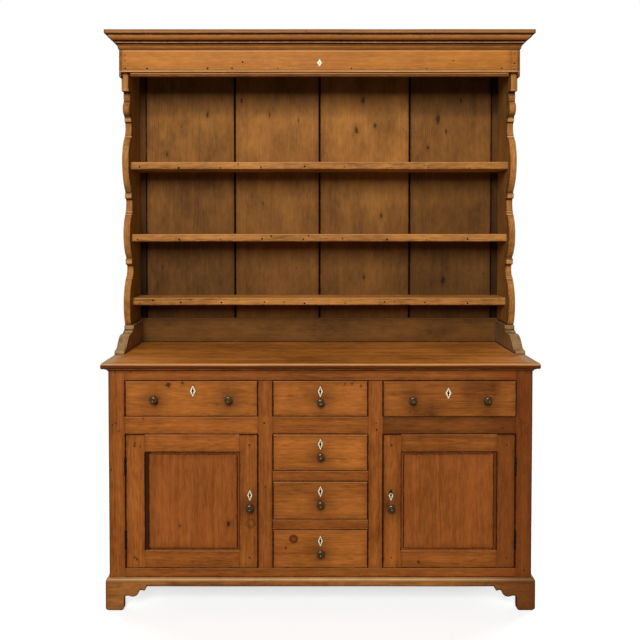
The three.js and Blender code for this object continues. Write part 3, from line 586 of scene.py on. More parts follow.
class Piece:
    """Gathers surfaces as whole arrays, and makes one object of them that rides on a body"""

    def __init__(self, name, stains=()):
        self.name = name
        self.draw = np.random.default_rng(zlib.crc32(name.encode()))
        self.stains = [np.array(place) for place in stains]
        self.points, self.faces, self.flat = [], [], []
        self.layers = {"grain": [], "tone": [], "wear": [], "edge": [], "stain": []}
        self.total = 0

    def surface(self, rings, wear, edge, grain, tone, closed=False):
        """Skins rings of points, (rings, points, 3), with quads from ring to ring and a flat face over each end,
        or joins the last ring to the first. Where the quads' flux, the sum of their places times their areas,
        comes out negative, all faces are turned round so that they point outwards."""
        count, around = rings.shape[:2]
        index = np.arange(count * around).reshape(count, around)
        after = np.roll(index, -1, 0) if closed else index[1:]
        here = index if closed else index[:-1]
        quads = np.stack([here, np.roll(here, -1, 1), np.roll(after, -1, 1), after], -1).reshape(-1, 4)
        places = rings.reshape(-1, 3)
        centred = places - places.mean(0)
        a, b, c, d = (centred[quads[:, i]] for i in range(4))
        flux = (np.cross(c - a, d - b) * (a + b + c + d)).sum()
        faces = quads.tolist()
        if not closed:
            faces += [index[0, ::-1].tolist(), index[-1].tolist()]
        if flux < 0:
            faces = [face[::-1] for face in faces]
        self.flat += [False] * len(quads) + [True] * (len(faces) - len(quads))
        self.faces += [[corner + self.total for corner in face] for face in faces]
        self.total += len(places)
        self.points.append(places)
        stain = np.zeros(len(places))
        for place in self.stains:
            gap = np.linalg.norm((places - place) * (1, 0.3, 0.8), axis=1)
            stain = np.maximum(stain, np.exp(-((gap / 0.036) ** 2)))
        values = {"grain": grain, "tone": tone, "wear": wear, "edge": edge, "stain": stain}
        for key, value in values.items():
            shape = (*rings.shape[:2], 3) if key == "grain" else rings.shape[:2]
            value = value if key == "stain" else np.broadcast_to(value, shape)
            self.layers[key].append(np.reshape(value, (len(places), -1)))

    def make(self, body, slot, *nodes, finish=None, stray=None):
        """Writes the gathered arrays into a mesh, parents it to the body that it rides on and hides the frame nodes
        that it stands for. Its finish is that of its slot unless another is named."""
        stray = bpy.context.scene.dresser_sizes.wobble if stray is None else stray
        mesh = bpy.data.meshes.new(self.name)
        mesh.from_pydata(strayed(np.concatenate(self.points), stray), [], self.faces)
        for key, parts in self.layers.items():
            kind, field = ("FLOAT_VECTOR", "vector") if key == "grain" else ("FLOAT", "value")
            layer = mesh.attributes.new(key, kind, "POINT")
            layer.data.foreach_set(field, np.concatenate(parts).astype(np.float32).ravel())
        mesh.polygons.foreach_set("use_smooth", ~np.array(self.flat))
        mesh.materials.append(finish_of(finish or slot))
        mesh.update()
        made = bpy.data.objects.new(self.name, mesh)
        bpy.context.scene.collection.objects.link(made)
        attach(made, body)
        if nodes:
            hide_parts(*nodes)


def timber(piece, rings, along, across, through):
    """Where each point lies in its timber: along, across and through the board from a pith that lies a few
    centimetres behind it, with a start along the log of the board's own"""
    middle = (rings.reshape(-1, 3).min(0) + rings.reshape(-1, 3).max(0)) / 2
    pith = np.array([piece.draw.uniform(0, 40), piece.draw.uniform(-0.05, 0.05), piece.draw.uniform(0.03, 0.11)])
    return (rings - middle)[..., [along, across, through]] + pith


def ring_of(low, high, radius, wide, rubbed):
    """Rounded rectangles, one for each row of low and high (a, b) corners. Each corner is an arc of four points
    about a centre that lies its radius inwards, and each side between two arcs gets points near both of its ends
    and wide evenly spaced ones between them. rubbed is the wear of the four corners, which fades within 3 mm.
    Returns the points, their wear and their distance from a dirty corner, 4 mm more where a corner is rubbed."""
    signs = np.array([(-1, -1), (1, -1), (1, 1), (-1, 1)])
    arcs = []
    for i, sign in enumerate(signs):
        centre = np.where(sign > 0, high, low) - sign * radius[:, i, None]
        angle = math.pi * (1 + i / 2) + np.linspace(0, math.pi / 2, 4)
        turn = np.stack([np.cos(angle), np.sin(angle)], -1)
        arcs.append(centre[:, None] + radius[:, i, None, None] * turn)
    points, wear, edge = [], [], []
    for i, arc in enumerate(arcs):
        start, end = arc[:, -1], arcs[(i + 1) % 4][:, 0]
        length = np.linalg.norm(end - start, axis=-1)[:, None]
        near = np.minimum(np.array([0.0015, 0.005, 0.014]), length * np.array([0.1, 0.2, 0.3]))
        share = np.linspace(0, 1, wide[i % 2] + 2)[1:-1]
        middle = near[:, -1:] + (length - 2 * near[:, -1:]) * share
        run = np.concatenate([near, middle, length - near[:, ::-1]], 1)
        direction = (end - start) / np.maximum(length, 1e-9)
        points += [arc, start[:, None] + run[..., None] * direction[:, None]]
        from_corner = np.minimum(run, length - run)
        nearer = np.where(run < length / 2, rubbed[i], rubbed[(i + 1) % 4])
        wear += [np.full(arc.shape[:2], rubbed[i]), np.clip(1 - from_corner / 0.003, 0, 1) * 0.7 * nearer]
        edge += [np.full(arc.shape[:2], rubbed[i] * 0.004), from_corner + nearer * 0.004]
    return np.concatenate(points, 1), np.concatenate(wear, 1), np.concatenate(edge, 1)


def bending(along, side):
    """How a shaped lower edge turns at each point, from -1 in a hollow to 1 on a crest: the turning angles added
    up with weights exp(-(distance / 3 mm) squared)"""
    path = np.stack([along, side], -1)
    step = np.diff(path, axis=0)
    cross = step[:-1, 0] * step[1:, 1] - step[:-1, 1] * step[1:, 0]
    angle = np.concatenate([[0], np.arctan2(cross, (step[:-1] * step[1:]).sum(1)), [0]])
    gap = np.linalg.norm(path[:, None] - path[None], axis=-1)
    return np.clip((np.exp(-((gap / 0.003) ** 2)) * angle).sum(1), -1, 1)


def board_stations(first_place, last_place, start, end, flush):
    """Stations from a straight board's first to its last end: four over each rounded end, a few near it, then about
    3 cm apart, and two at each border of a clean joint. Returns them and the inset there, radius times (1 - sin)."""
    length = float(last_place - first_place)
    arc = np.linspace(0, math.pi / 2, 4)
    first, last = start * (1 - np.cos(arc)), end * (1 - np.cos(arc))
    near = np.array([0.0015, 0.005, 0.014])
    near = near[near < length / 5]
    inner = np.linspace(near[-1] + start, length - near[-1] - end, max(3, int(length / 0.03)))
    position = np.concatenate([first, start + near[:-1], inner, length - end - near[-2::-1], length - last[::-1]])
    inset = np.zeros(len(position))
    inset[:4] = start * (1 - np.sin(arc))
    inset[-4:] = end * (1 - np.sin(arc[::-1]))
    position += first_place
    borders = np.array([border + step for _, *span in flush for border in span for step in (-0.001, 0.001)])
    borders = borders[(borders > position[4]) & (borders < position[-5])]
    extended = np.unique(np.concatenate([position, borders]))
    return extended, np.interp(extended, position, inset)


def mitred(rings, position, along, mitre):
    """Moves points near a mitred end on along the board by their distance outside a plane, fading over 4 cm"""
    before, behind, axis, plane, sign = mitre
    outward = sign * (rings[..., axis] - plane)
    fade = np.clip(1 - (position - position[0]) / 0.04, 0, 1)[:, None] * -before
    fade = fade + np.clip(1 - (position[-1] - position) / 0.04, 0, 1)[:, None] * behind
    rings[..., along] += outward * fade


def board(
    piece, low, high, along, arris=None, ends=(None, None), tone=0.0, at=None, mitre=None, nibble=0.0, rubbed=None,
    flush=(),
):
    """A board: rounded rectangles carried along its grain from low to high. An entry of low or high across the
    grain may be an array over the stations in at, which gives a shaped edge. ends are the radii of its two ends, and
    mitre = (start, end, axis, plane, sign) cuts them. nibble wears the edges in and out along the grain. rubbed is
    the wear of the four long edges, by default high on those that face up and low on the others, which also paints a
    highlight on the upper arrises and shade on the lower ones. tone may be a function of the points. flush lists
    (side, start, end) of clean joints: the long edges on that side of the first axis across collect no dirt from
    start to end."""
    sizes = bpy.context.scene.dresser_sizes
    arris = sizes.arris if arris is None else arris
    start, end = ((sizes.joint_arris if radius is None else radius) for radius in ends)
    a, b = (along + 1) % 3, (along + 2) % 3
    if at is None:
        position, inset = board_stations(low[along], high[along], start, end, flush)
    else:
        position, inset = np.asarray(at, float), np.zeros(len(at))
    count = len(position)
    low2 = np.stack([np.broadcast_to(low[axis], count) for axis in (a, b)], -1) + inset[:, None]
    high2 = np.stack([np.broadcast_to(high[axis], count) for axis in (a, b)], -1) - inset[:, None]
    uneven = 1 + 0.35 * ripple(position[:, None], 0.02, int(piece.draw.integers(1 << 30)))
    radius = np.broadcast_to(arris, (4,)) * uneven[:, None]
    if nibble:
        bite = np.clip(ripple(position[:, None], 0.012, int(piece.draw.integers(1 << 30))), 0, 1) * nibble
        radius = radius + bite[:, None] * (np.broadcast_to(arris, (4,)) > 0.001)
    radius = np.minimum(radius, 0.45 * (high2 - low2).min(-1)[:, None])
    size = (high2 - low2).max(0)
    wide = [max(1, int(size[0] / 0.018)), max(1, int(size[1] / 0.018))]
    # The default paints wear and a highlight on the up-facing arrises, and dirt and shade on the others
    upward = {X: (0, 0, 1, 1), Y: (0, 1, 1, 0), Z: (0, 0, 0, 0)}[along]
    rubbed = 0.25 + 0.7 * np.array(upward) if rubbed is None else rubbed
    section, wear, edge = ring_of(low2, high2, radius, wide, rubbed)
    rings = np.empty((*section.shape[:2], 3))
    rings[..., along] = position[:, None]
    rings[..., a], rings[..., b] = section[..., 0], section[..., 1]
    if mitre is not None:
        mitred(rings, position, along, mitre)
    for i, axis in enumerate((a, b)):
        if np.ndim(low[axis]):
            bend = bending(position, low2[:, i])[:, None]
            near = np.clip(1 - (section[..., i] - low2[:, None, i]) / 0.008, 0, 1)
            wear = np.maximum(wear * (1 - near * np.clip(-bend, 0, 1)), near * np.clip(bend, 0, 1) * 0.8)
            edge = edge * (1 - near * np.clip(-bend * 1.5, 0, 1))
    for side, first, last in flush:
        joined = (section[..., 0] - (low2 + high2)[:, None, 0] / 2) * side > 0
        edge = edge + 0.003 * joined * ((position > first) & (position < last))[:, None]
    from_end = np.minimum(position - position[0], position[-1] - position)[:, None]
    free = max(start, end) > 0.001
    edge = np.minimum(edge, np.maximum(from_end, 0) + (0 if free else 0.0021))
    ends_worn = np.clip(1 - from_end / 0.003, 0, 1) * (0.3 if free else 0.0)
    across, through = (a, b) if size[0] >= size[1] else (b, a)
    grain = timber(piece, rings, along, across, through)
    tone = tone(rings) if callable(tone) else tone
    piece.surface(rings, np.maximum(wear, ends_worn), edge, grain, tone + piece.draw.uniform(-0.15, 0.15))


def softened(outline, radius):
    """A closed outline whose corners are cut to three points of a quadratic curve each, reaching radius or a third
    of the shorter side from the corner. Returns the points and how far each corner stands out, from -1 to 1."""
    before, after = np.roll(outline, 1, 0), np.roll(outline, -1, 0)
    back, ahead = before - outline, after - outline
    reach_back, reach_ahead = (np.linalg.norm(v, axis=1)[:, None] for v in (back, ahead))
    reach = np.minimum(radius, np.minimum(reach_back, reach_ahead) / 3)
    start, end = outline + back / reach_back * reach, outline + ahead / reach_ahead * reach
    middle = (start + 2 * outline + end) / 4
    turn = (ahead[:, 0] * back[:, 1] - ahead[:, 1] * back[:, 0]) / (reach_back * reach_ahead)[:, 0]
    area = (outline[:, 0] * after[:, 1] - after[:, 0] * outline[:, 1]).sum()
    points = np.stack([start, middle, end], 1).reshape(-1, 2)
    return points, np.repeat(turn * np.sign(area), 3)


def moulding(piece, outline, start, end, out, mitres, stripes, radius):
    """A closed (outward, up) outline carried along the straight line from start to end. At a mitred end a point
    moves on along the line by its outward length, within the last few centimetres. stripes are (height, tone) of
    painted light and shade up the outline."""
    start, end, out = (np.array(v, float) for v in (start, end, out))
    points, turn = softened(outline, radius)
    length = np.linalg.norm(end - start)
    direction = (end - start) / length
    position = np.concatenate([[0, 0.004, 0.015], np.linspace(0.04, length - 0.04, max(3, int(length / 0.03)))])
    position = np.concatenate([position, length - np.array([0.015, 0.004, 0])])
    fade = np.clip(1 - position / 0.04, 0, 1) * -mitres[0]
    fade = fade + np.clip(1 - (length - position) / 0.04, 0, 1) * mitres[1]
    moved = position[:, None] + fade[:, None] * points[:, 0]
    rings = start + moved[..., None] * direction + points[:, :1] * out + points[:, 1:] * np.array([0, 0, 1])
    grain = np.stack(np.broadcast_arrays(moved, points[:, 1], points[:, 0]), -1)
    grain = grain + np.array([piece.draw.uniform(0, 40), piece.draw.uniform(-0.04, 0.04), 0.05])
    # Dirt by the distance from the nearest hollow corner, which also paints the shade in the hollows
    gap = np.linalg.norm(points[:, None] - points[None], axis=-1) + np.where(turn < -0.2, 0, 1)
    edge = np.minimum(gap.min(1), 0.012)
    tone = np.interp(points[:, 1], *zip(*stripes))
    piece.surface(rings, np.clip(turn, 0.25, 1), edge, grain, tone)


def turned(piece, profile, place, axis, around):
    """A turned body: (radius, forward) points spun about a line through place, each ring a circle"""
    angle = np.linspace(0, 2 * math.pi, around, endpoint=False)
    side, up = (np.eye(3)[(axis + i) % 3] for i in (1, 2))
    circle = np.cos(angle)[:, None] * side + np.sin(angle)[:, None] * up
    rings = profile[:, :1, None] * circle + profile[:, 1:, None] * np.eye(3)[axis] + np.array(place)
    bend = np.gradient(np.gradient(profile[:, 0]))
    wear = np.clip(-bend / max(1e-9, np.abs(bend).max()) * 2, 0, 1)[:, None]
    piece.surface(rings, wear, 0.01, rings - np.array(place), 0.0)


def nails(name, places, radius):
    """Nail heads: low domes turned about a line through each place, sunk 2 mm into the wood"""
    piece = Piece(name)
    for place in places:
        size = radius * piece.draw.uniform(0.75, 1.35)
        turned(piece, np.array(nail_section) * (size, -1), place, Y, 10)
    return piece


def math_node(operation, swapped=False):
    """A method that adds a Math node of a value and another one, or of the two the other way round"""

    def method(value, other):
        return value.finish.maths(operation, *((other, value) if swapped else (value, other)))

    return method


class Value:
    """A socket of a material. Python sums on it add Math nodes."""

    def __init__(self, finish, socket):
        self.finish = finish
        self.socket = socket

    __add__, __radd__ = math_node("ADD"), math_node("ADD", swapped=True)
    __sub__, __rsub__ = math_node("SUBTRACT"), math_node("SUBTRACT", swapped=True)
    __mul__, __rmul__ = math_node("MULTIPLY"), math_node("MULTIPLY", swapped=True)
    __pow__, __gt__ = math_node("POWER"), math_node("GREATER_THAN")


class Finish:
    """One material, or a world, and its nodes"""

    def __init__(self, name, world=None):
        self.material = world or bpy.data.materials.new(name)
        self.material.use_nodes = True
        self.tree = self.material.node_tree
        self.tree.nodes.clear()

    def add(self, kind, settings=None, inputs=None, output=0):
        """A node of a kind, with its settings made first and then its sockets filled or linked"""
        node = self.tree.nodes.new(kind)
        for key, setting in (settings or {}).items():
            setattr(node, key, setting)
        for key, value in (inputs or {}).items():
            if isinstance(value, Value):
                self.tree.links.new(value.socket, node.inputs[key])
            else:
                node.inputs[key].default_value = value
        return Value(self, node.outputs[output]) if output is not None else None

    def maths(self, operation, *values):
        """A Math node of some values"""
        return self.add("ShaderNodeMath", {"operation": operation}, dict(enumerate(values)))

    def place(self):
        """Where a point lies in the dresser"""
        return self.add("ShaderNodeTexCoord", output="Object")

    def length(self, vector):
        """The length of a vector"""
        return self.add("ShaderNodeVectorMath", {"operation": "LENGTH"}, {0: vector}, "Value")

    def beside(self, place, x, z, tall=1):
        """How far a place is from a line that runs back through x and z, its height counted tall times"""
        aside = self.add("ShaderNodeVectorMath", {"operation": "SUBTRACT"}, {0: place, 1: (x, 0, z)})
        return self.length(self.stretch(aside, (1, 0, tall)))

    def attribute(self, name, output="Fac"):
        """What the mesh says at a point"""
        return self.add("ShaderNodeAttribute", {"attribute_name": name}, output=output)

    def stretch(self, vector, scale):
        """A vector with its three parts scaled"""
        return self.add("ShaderNodeVectorMath", {"operation": "MULTIPLY"}, {0: vector, 1: scale})

    def part(self, vector, axis):
        """One part of a vector"""
        return self.add("ShaderNodeSeparateXYZ", inputs={0: vector}, output=axis)

    def noise(self, vector, detail=2.0, rough=0.5, scale=1.0):
        """Noise spread to about -1 to 1"""
        inputs = {"Vector": vector, "Scale": scale, "Detail": detail, "Roughness": rough}
        return (self.add("ShaderNodeTexNoise", inputs=inputs) - 0.5) * 3.2

    def cells(self, vector, output):
        """Distance from the middle of a cell, or the cell's own colour"""
        return self.add("ShaderNodeTexVoronoi", inputs={"Vector": vector, "Scale": 1.0}, output=output)

    def ramp(self, value, low, high):
        """0 below low and 1 above high, or the other way round where low is the higher, with soft shoulders"""
        flip = low > high
        inputs = {"Value": value, "From Min": min(low, high), "From Max": max(low, high)}
        inputs.update({"To Min": float(flip), "To Max": float(not flip)})
        return self.add("ShaderNodeMapRange", {"interpolation_type": "SMOOTHSTEP"}, inputs)

    def mix(self, factor, first, second):
        """From the first colour to the second by a factor"""
        first, second = (v if isinstance(v, Value) else (*v, 1.0) for v in (first, second))
        settings = {"data_type": "RGBA", "blend_type": "MIX", "clamp_factor": True}
        return self.add("ShaderNodeMix", settings, {0: factor, 6: first, 7: second}, output=2)

    def brighten(self, colour, factor):
        """A colour times a factor"""
        return self.add("ShaderNodeVectorMath", {"operation": "SCALE"}, {0: colour, "Scale": factor})

    def surface(self, colour, roughness, height, depth, **uniform):
        """The Principled shader with a bump, and the sockets that are the same all over set by name"""
        bump = self.add("ShaderNodeBump", inputs={"Strength": 1.0, "Distance": depth, "Height": height})
        inputs = {"Base Color": colour, "Roughness": roughness, "Normal": bump, **uniform}
        shader = self.add("ShaderNodeBsdfPrincipled", inputs=inputs)
        self.add("ShaderNodeOutputMaterial", inputs={"Surface": shader}, output=None)
        return self.material


def darker(colour, share):
    """A share of a colour, brighter above 1"""
    return tuple(v * share for v in colour)


def knotted(f, wood, place, knots, tall, colour, mottle, ragged):
    """Dark knots with softer shade round them: the distance from each one's middle, made ragged by noise"""
    for x, z, radius in knots:
        gap = f.beside(place, x, z, tall) + (mottle * 0.25 + ragged * 0.6) * radius
        wood = f.mix(f.ramp(gap, radius * 2.6, radius * 0.8) * 0.35, wood, darker(colour, 0.5))
        wood = f.mix(f.ramp(gap, radius, radius * 0.4) * 0.85, wood, darker(colour, 0.12))
    return wood


def red_knot(f, wood, place, spot, colour, slow, ragged):
    """One round red knot with a dark rim and a paler middle, by the distance from its middle"""
    x, z, radius, strength = spot
    flat = f.beside(place, x, z)
    eye = f.ramp(flat + slow * 0.0006, radius, radius * 0.82)
    rim = f.ramp(flat, radius * 1.25, radius) * f.ramp(flat, radius * 0.7, radius * 0.95)
    paler = f.ramp(flat + ragged * (radius * 0.2), radius * 0.6, radius * 0.1) * 0.3
    wood = f.mix(eye * (strength - paler), wood, (colour[0] * 0.3, colour[1] * 0.15, colour[2] * 0.24))
    return f.mix(rim * strength, wood, darker(colour, 0.2))


def striped(f, wood, place, bands, slow):
    """Strips of painted light and shade, wear and colour: each fades out from half its width to a third more, and
    behind its depth if it has one
    """
    for axis, centre, half, share, shade, *back in bands:
        off = f.maths("ABSOLUTE", f.part(place, axis) - centre) + slow * (half * 0.35)
        strip = f.ramp(off, half * 1.3, half * 0.7) * share
        strip = strip * f.ramp(f.part(place, Y), back[0], back[0] - 0.006) if back else strip
        wood = f.mix(strip, wood, tint(*shade))
    return wood


def pine(
    name, colour, shine=0.5, contrast=1.0, grime=1.0, worn=0.6, spacing=0.0062, knots=(), spot=None, bands=(),
    calm=0.0, tall=0.7, scuffed=0.0,
):
    """Waxed pine. Growth rings are a sine of the distance from the pith, bent by slow noise, that fades in and
    out; streaks, mottles, fibres and blotches are noise stretched along the grain. Wear lightens the arrises, and
    dirt lies in the joints, round the knobs, in nicks and in worm holes; on some arrises and in hollows these also
    paint light and shade. shine is the roughness and spacing that of the rings. knots are dark knots at
    (x, z, radius), drawn out upwards by 1 / tall, and spot is one round red knot at (x, z, radius, strength). bands
    are strips of painted light and shade, wear and colour as (axis, centre, half width, share, colour) and, for
    some, the depth behind which they fade. calm, from 0 to 1, turns streaks into blotches, and scuffed is the
    share of fine light and dark scuffs."""
    f = Finish(name)
    grain = f.attribute("grain", "Vector")
    tone, wear, edge, stain = (f.attribute(key) for key in ("tone", "wear", "edge", "stain"))
    place = f.place()
    slow = f.noise(f.stretch(grain, (1.5, 9, 9)))
    across, through = f.part(grain, Y), f.part(grain, Z)
    pith = (across * across + through * through) ** 0.5
    ring = f.maths("SINE", (pith + slow * 0.011) * (2 * math.pi / spacing))
    ring = ring * f.ramp(f.noise(f.stretch(grain, (0.9, 13, 13))), -0.3, 0.9)
    streak = f.noise(f.stretch(grain, (1.3, 48, 48)), 4.0, 0.6)
    mottle = f.noise(f.stretch(grain, (26, 60, 60)), 3.0, 0.6)
    fibre = f.noise(f.stretch(grain, (20, 260, 260)), 3.0, 0.65)
    blotch = f.noise(f.stretch(grain, (6, 11, 11)), 4.0, 0.62)
    patina = f.noise(place, 2.0, scale=3.1)
    shade = streak * (0.26 - 0.14 * calm) + blotch * (0.22 + 0.16 * calm) + fibre * (0.34 - 0.17 * calm)
    shade = shade + mottle * 0.15 + patina * 0.2 + ring * 0.09
    shade = 0.5 + contrast * shade
    red = f.noise(f.stretch(grain, (3, 16, 16)), 2.0)
    light, dark = darker(colour, 1.5), darker(colour, 0.5)
    wood = f.mix(shade, (dark[0], dark[1] * 0.92, dark[2] * 0.8), light)
    wood = f.mix(f.ramp(red, 0.1, 1.1) * 0.35, wood, (colour[0] * 1.05, colour[1] * 0.78, colour[2] * 0.62))
    ragged = f.noise(place, 3.0, 0.7, 110.0)
    wood = knotted(f, wood, place, knots, tall, colour, mottle, ragged)
    if spot is not None:
        wood = red_knot(f, wood, place, spot, colour, slow, ragged)
    if scuffed:
        scuff = f.noise(place, 4.0, 0.75, 95.0)
        wood = f.mix(f.ramp(scuff, 0.1, 1.1) * scuffed, wood, darker(colour, 1.45))
        wood = f.mix(f.ramp(scuff, -0.1, -1.1) * scuffed, wood, (colour[0] * 0.36, colour[1] * 0.46, colour[2] * 0.5))
    pore = f.stretch(grain, (9, 17, 17))
    hole = f.ramp(f.cells(pore, "Distance"), 0.05, 0.02) * (f.part(f.cells(pore, "Color"), Y) > 0.5)
    scratch = f.stretch(grain, (5, 36, 36))
    nick = f.ramp(f.cells(scratch, "Distance"), 0.06, 0.02) * (f.part(f.cells(scratch, "Color"), Y) > 0.62)
    rub = f.ramp(wear + f.noise(place, 3.0, 0.7, 38.0) * 0.42, 0.35, 0.95)
    wood = f.mix(rub * worn, wood, tuple(0.8 * own + 0.6 * bare for own, bare in zip(colour, tint(178, 132, 84))))
    wood = striped(f, wood, place, bands, slow)
    crumbs = f.noise(place, 3.0, 0.7, 55.0)
    # Dirt along the joints and in the hollows, which also paints their shade
    joint = f.ramp(edge + crumbs * 0.0016, 0.0034, 0.0008) * (1 - rub)
    close = f.ramp(edge + crumbs * 0.004, 0.026, 0.0) * (0.24 + blotch * 0.2)
    cloud = f.ramp(f.noise(place, 4.0, 0.62, 9.0), 0.2, 1.5) * 0.26
    dirt = (joint * 0.92 + close + cloud + stain * (0.62 + mottle * 0.4)) * grime + hole * 0.7 + nick * 0.5
    wood = f.mix(dirt, wood, (colour[0] * 0.2, colour[1] * 0.16, colour[2] * 0.15))
    # The tone, which carries the painted light and shade of some boards
    wood = f.brighten(wood, 1 + tone * 0.22)
    roughness = shine + blotch * 0.05 + dirt * 0.2 - rub * 0.05
    height = fibre * 0.35 + ring * 0.3 + streak * 0.4 - hole * 4 - nick * 2 - joint * 1.0
    return f.surface(wood, roughness, height, 0.00028, **{"Specular IOR Level": 0.1})


def bronze(name, colour):
    """Dark bronze: brown patina in the hollows, rubbed brighter where the turning stands out"""
    f = Finish(name)
    place = f.place()
    wear = f.attribute("wear")
    spots = f.noise(place, 4.0, 0.65, 160.0)
    rub = f.ramp(wear + spots * 0.3, 0.2, 0.9)
    metal = f.mix(0.5 + spots * 0.35, darker(colour, 0.25), darker(colour, 0.7))
    metal = f.mix(rub * 0.7, metal, darker(colour, 2.6))
    roughness = 0.3 + spots * 0.07 - rub * 0.06
    return f.surface(metal, roughness, spots, 0.0001, Metallic=0.7)


def iron(name, colour):
    """Blackened iron with rust blooms, a fine pitted face and a few bright specks"""
    f = Finish(name)
    place = f.place()
    pits = f.noise(place, 5.0, 0.7, 260.0)
    bloom = f.ramp(f.noise(place, 3.0, 0.6, 70.0), 0.1, 1.0)
    metal = f.mix(bloom * 0.35, colour, tint(84, 52, 32))
    metal = f.mix(0.5 + pits * 0.4, darker(colour, 0.6), metal)
    metal = f.mix(f.ramp(f.noise(place, 2.0, 0.5, 240.0), 1.0, 1.3) * 0.6, metal, tint(150, 124, 92))
    return f.surface(metal, 0.6 + pits * 0.1, pits, 0.00012, **{"Specular IOR Level": 0.08})


def bone(name, colour):
    """Polished bone: fine lines along the plate, yellowed and dirty towards its edges and the keyhole"""
    f = Finish(name)
    place = f.place()
    edge = f.attribute("edge")
    lines = f.noise(f.stretch(place, (900, 900, 60)), 2.0)
    cloud = f.noise(place, 3.0, 0.5, 120.0)
    plate = f.mix(0.6 + lines * 0.2 + cloud * 0.25, darker(colour, 0.82), darker(colour, 1.05))
    plate = f.mix(f.ramp(edge + cloud * 0.0003, 0.001, 0.0) * 0.6, plate, tint(120, 84, 46))
    return f.surface(plate, 0.36 + cloud * 0.05, lines, 0.00005)


def void(name):
    """The dark inside of a lock, a gap or a hole: brown black dust, and painted shade that stands in for the depth
    there. The dark nail heads of the frieze take it too
    """
    f = Finish(name)
    place = f.place()
    dust = f.noise(place, 3.0, 0.6, 200.0)
    dark = f.mix(0.5 + dust * 0.4, tint(9, 6, 4), tint(26, 17, 11))
    return f.surface(dark, 0.9 + dust * 0.05, dust, 0.0001, **{"Specular IOR Level": 0.0})


def finish_makers(colours):
    """What makes the finish of each slot, and of the pieces that differ from their slot"""
    drawer_look = dict(shine=0.44, contrast=1.15, grime=1.1)
    return {
        "pine_cornice": partial(pine, "cornice pine", colours.cornice, contrast=0.75, grime=1.1, bands=frieze_shading_and_colour_bands),
        "pine_moulding": partial(pine, "moulding pine", colours.cornice, contrast=1.25, grime=1.1, bands=frieze_shading_and_colour_bands),
        "pine_rack": partial(pine, "rack pine", colours.rack, contrast=1.6, grime=0.8, bands=side_light_and_shade_bands),
        "pine_foot": partial(
            pine, "grey foot pine", colours.foot, shine=0.6, contrast=1.4, grime=0.8, worn=0.5, scuffed=0.7
        ),
        "pine_back": partial(
            pine, "back pine", colours.back, shine=0.62, contrast=1.15, grime=0.95, worn=0.35, spacing=0.008,
            knots=back_knots, calm=1.0, tall=0.45,
        ),
        "pine_worktop": partial(
            pine, "worktop pine", colours.worktop, shine=0.42, contrast=1.6, grime=0.9, worn=0.65, bands=nose_wear_and_shading_bands
        ),
        "pine_plinth": partial(
            pine, "plinth pine", colours.plinth, contrast=1.75, grime=1.1, worn=1.0, bands=plinth_highlight_and_dark_end_bands, calm=0.5,
            scuffed=0.65,
        ),
        "pine_base": partial(
            pine, "base pine", colours.base, shine=0.46, contrast=1.3, grime=1.1, worn=0.65, knots=base_marks,
            spot=red_stain, bands=base_shade_and_dark_end_bands,
        ),
        "pine_drawer": partial(pine, "drawer pine", colours.drawer, knots=drawer_knots, **drawer_look),
        "pine_drawer_knot": partial(
            pine, "knotty drawer pine", colours.drawer, knots=low_knots, spot=knot_spot(), **drawer_look
        ),
        "pine_panel": partial(
            pine, "panel pine", colours.panel, shine=0.46, contrast=1.05, spacing=0.009, knots=panel_knots
        ),
        # Very dark pine: dirt on the pegs and the filled hole, and painted shade in the doors' channels
        "pine_channel": partial(pine, "dirty channel pine", darker(colours.panel, 0.3), shine=0.7, worn=0.1),
        "pine_inside": partial(pine, "dry pine", colours.inside, shine=0.7, contrast=0.9, grime=0.7, worn=0.3),
        "knob_bronze": partial(bronze, "bronze", colours.bronze),
        "hinge_iron": partial(iron, "iron", colours.iron),
        "bone": partial(bone, "bone", colours.bone),
        "void": partial(void, "keyhole dust"),
    }


finishes = {}


def finish_of(slot):
    """The material of a slot, made when it is first asked for"""
    if slot not in finishes:
        finishes[slot] = finish_makers(bpy.context.scene.dresser_colours)[slot]()
    return finishes[slot]


def knot_spot():
    """The round red knot in the upper left of the lowest drawer's front"""
    low, high = extent("drawer_centre_4")
    return (low[X] + 0.0724, high[Z] - 0.0305, 0.0145, 0.85)


def sized(low, high, **changes):
    """Copies of two corners with some entries changed, as x=(low, high) and so on"""
    low, high = list(low), list(high)
    for key, (first, last) in changes.items():
        low["xyz".index(key)], high["xyz".index(key)] = first, last
    return low, high


def plain_board(node, slot, along, tone, arris, nibble=0.0, flush=()):
    """One board that fills a frame node's box"""
    low, high = extent(node)
    piece = Piece(f"{node}_board")
    board(piece, low, high, along, arris, tone=tone, nibble=nibble, flush=flush)
    piece.make(BODY, slot, node)


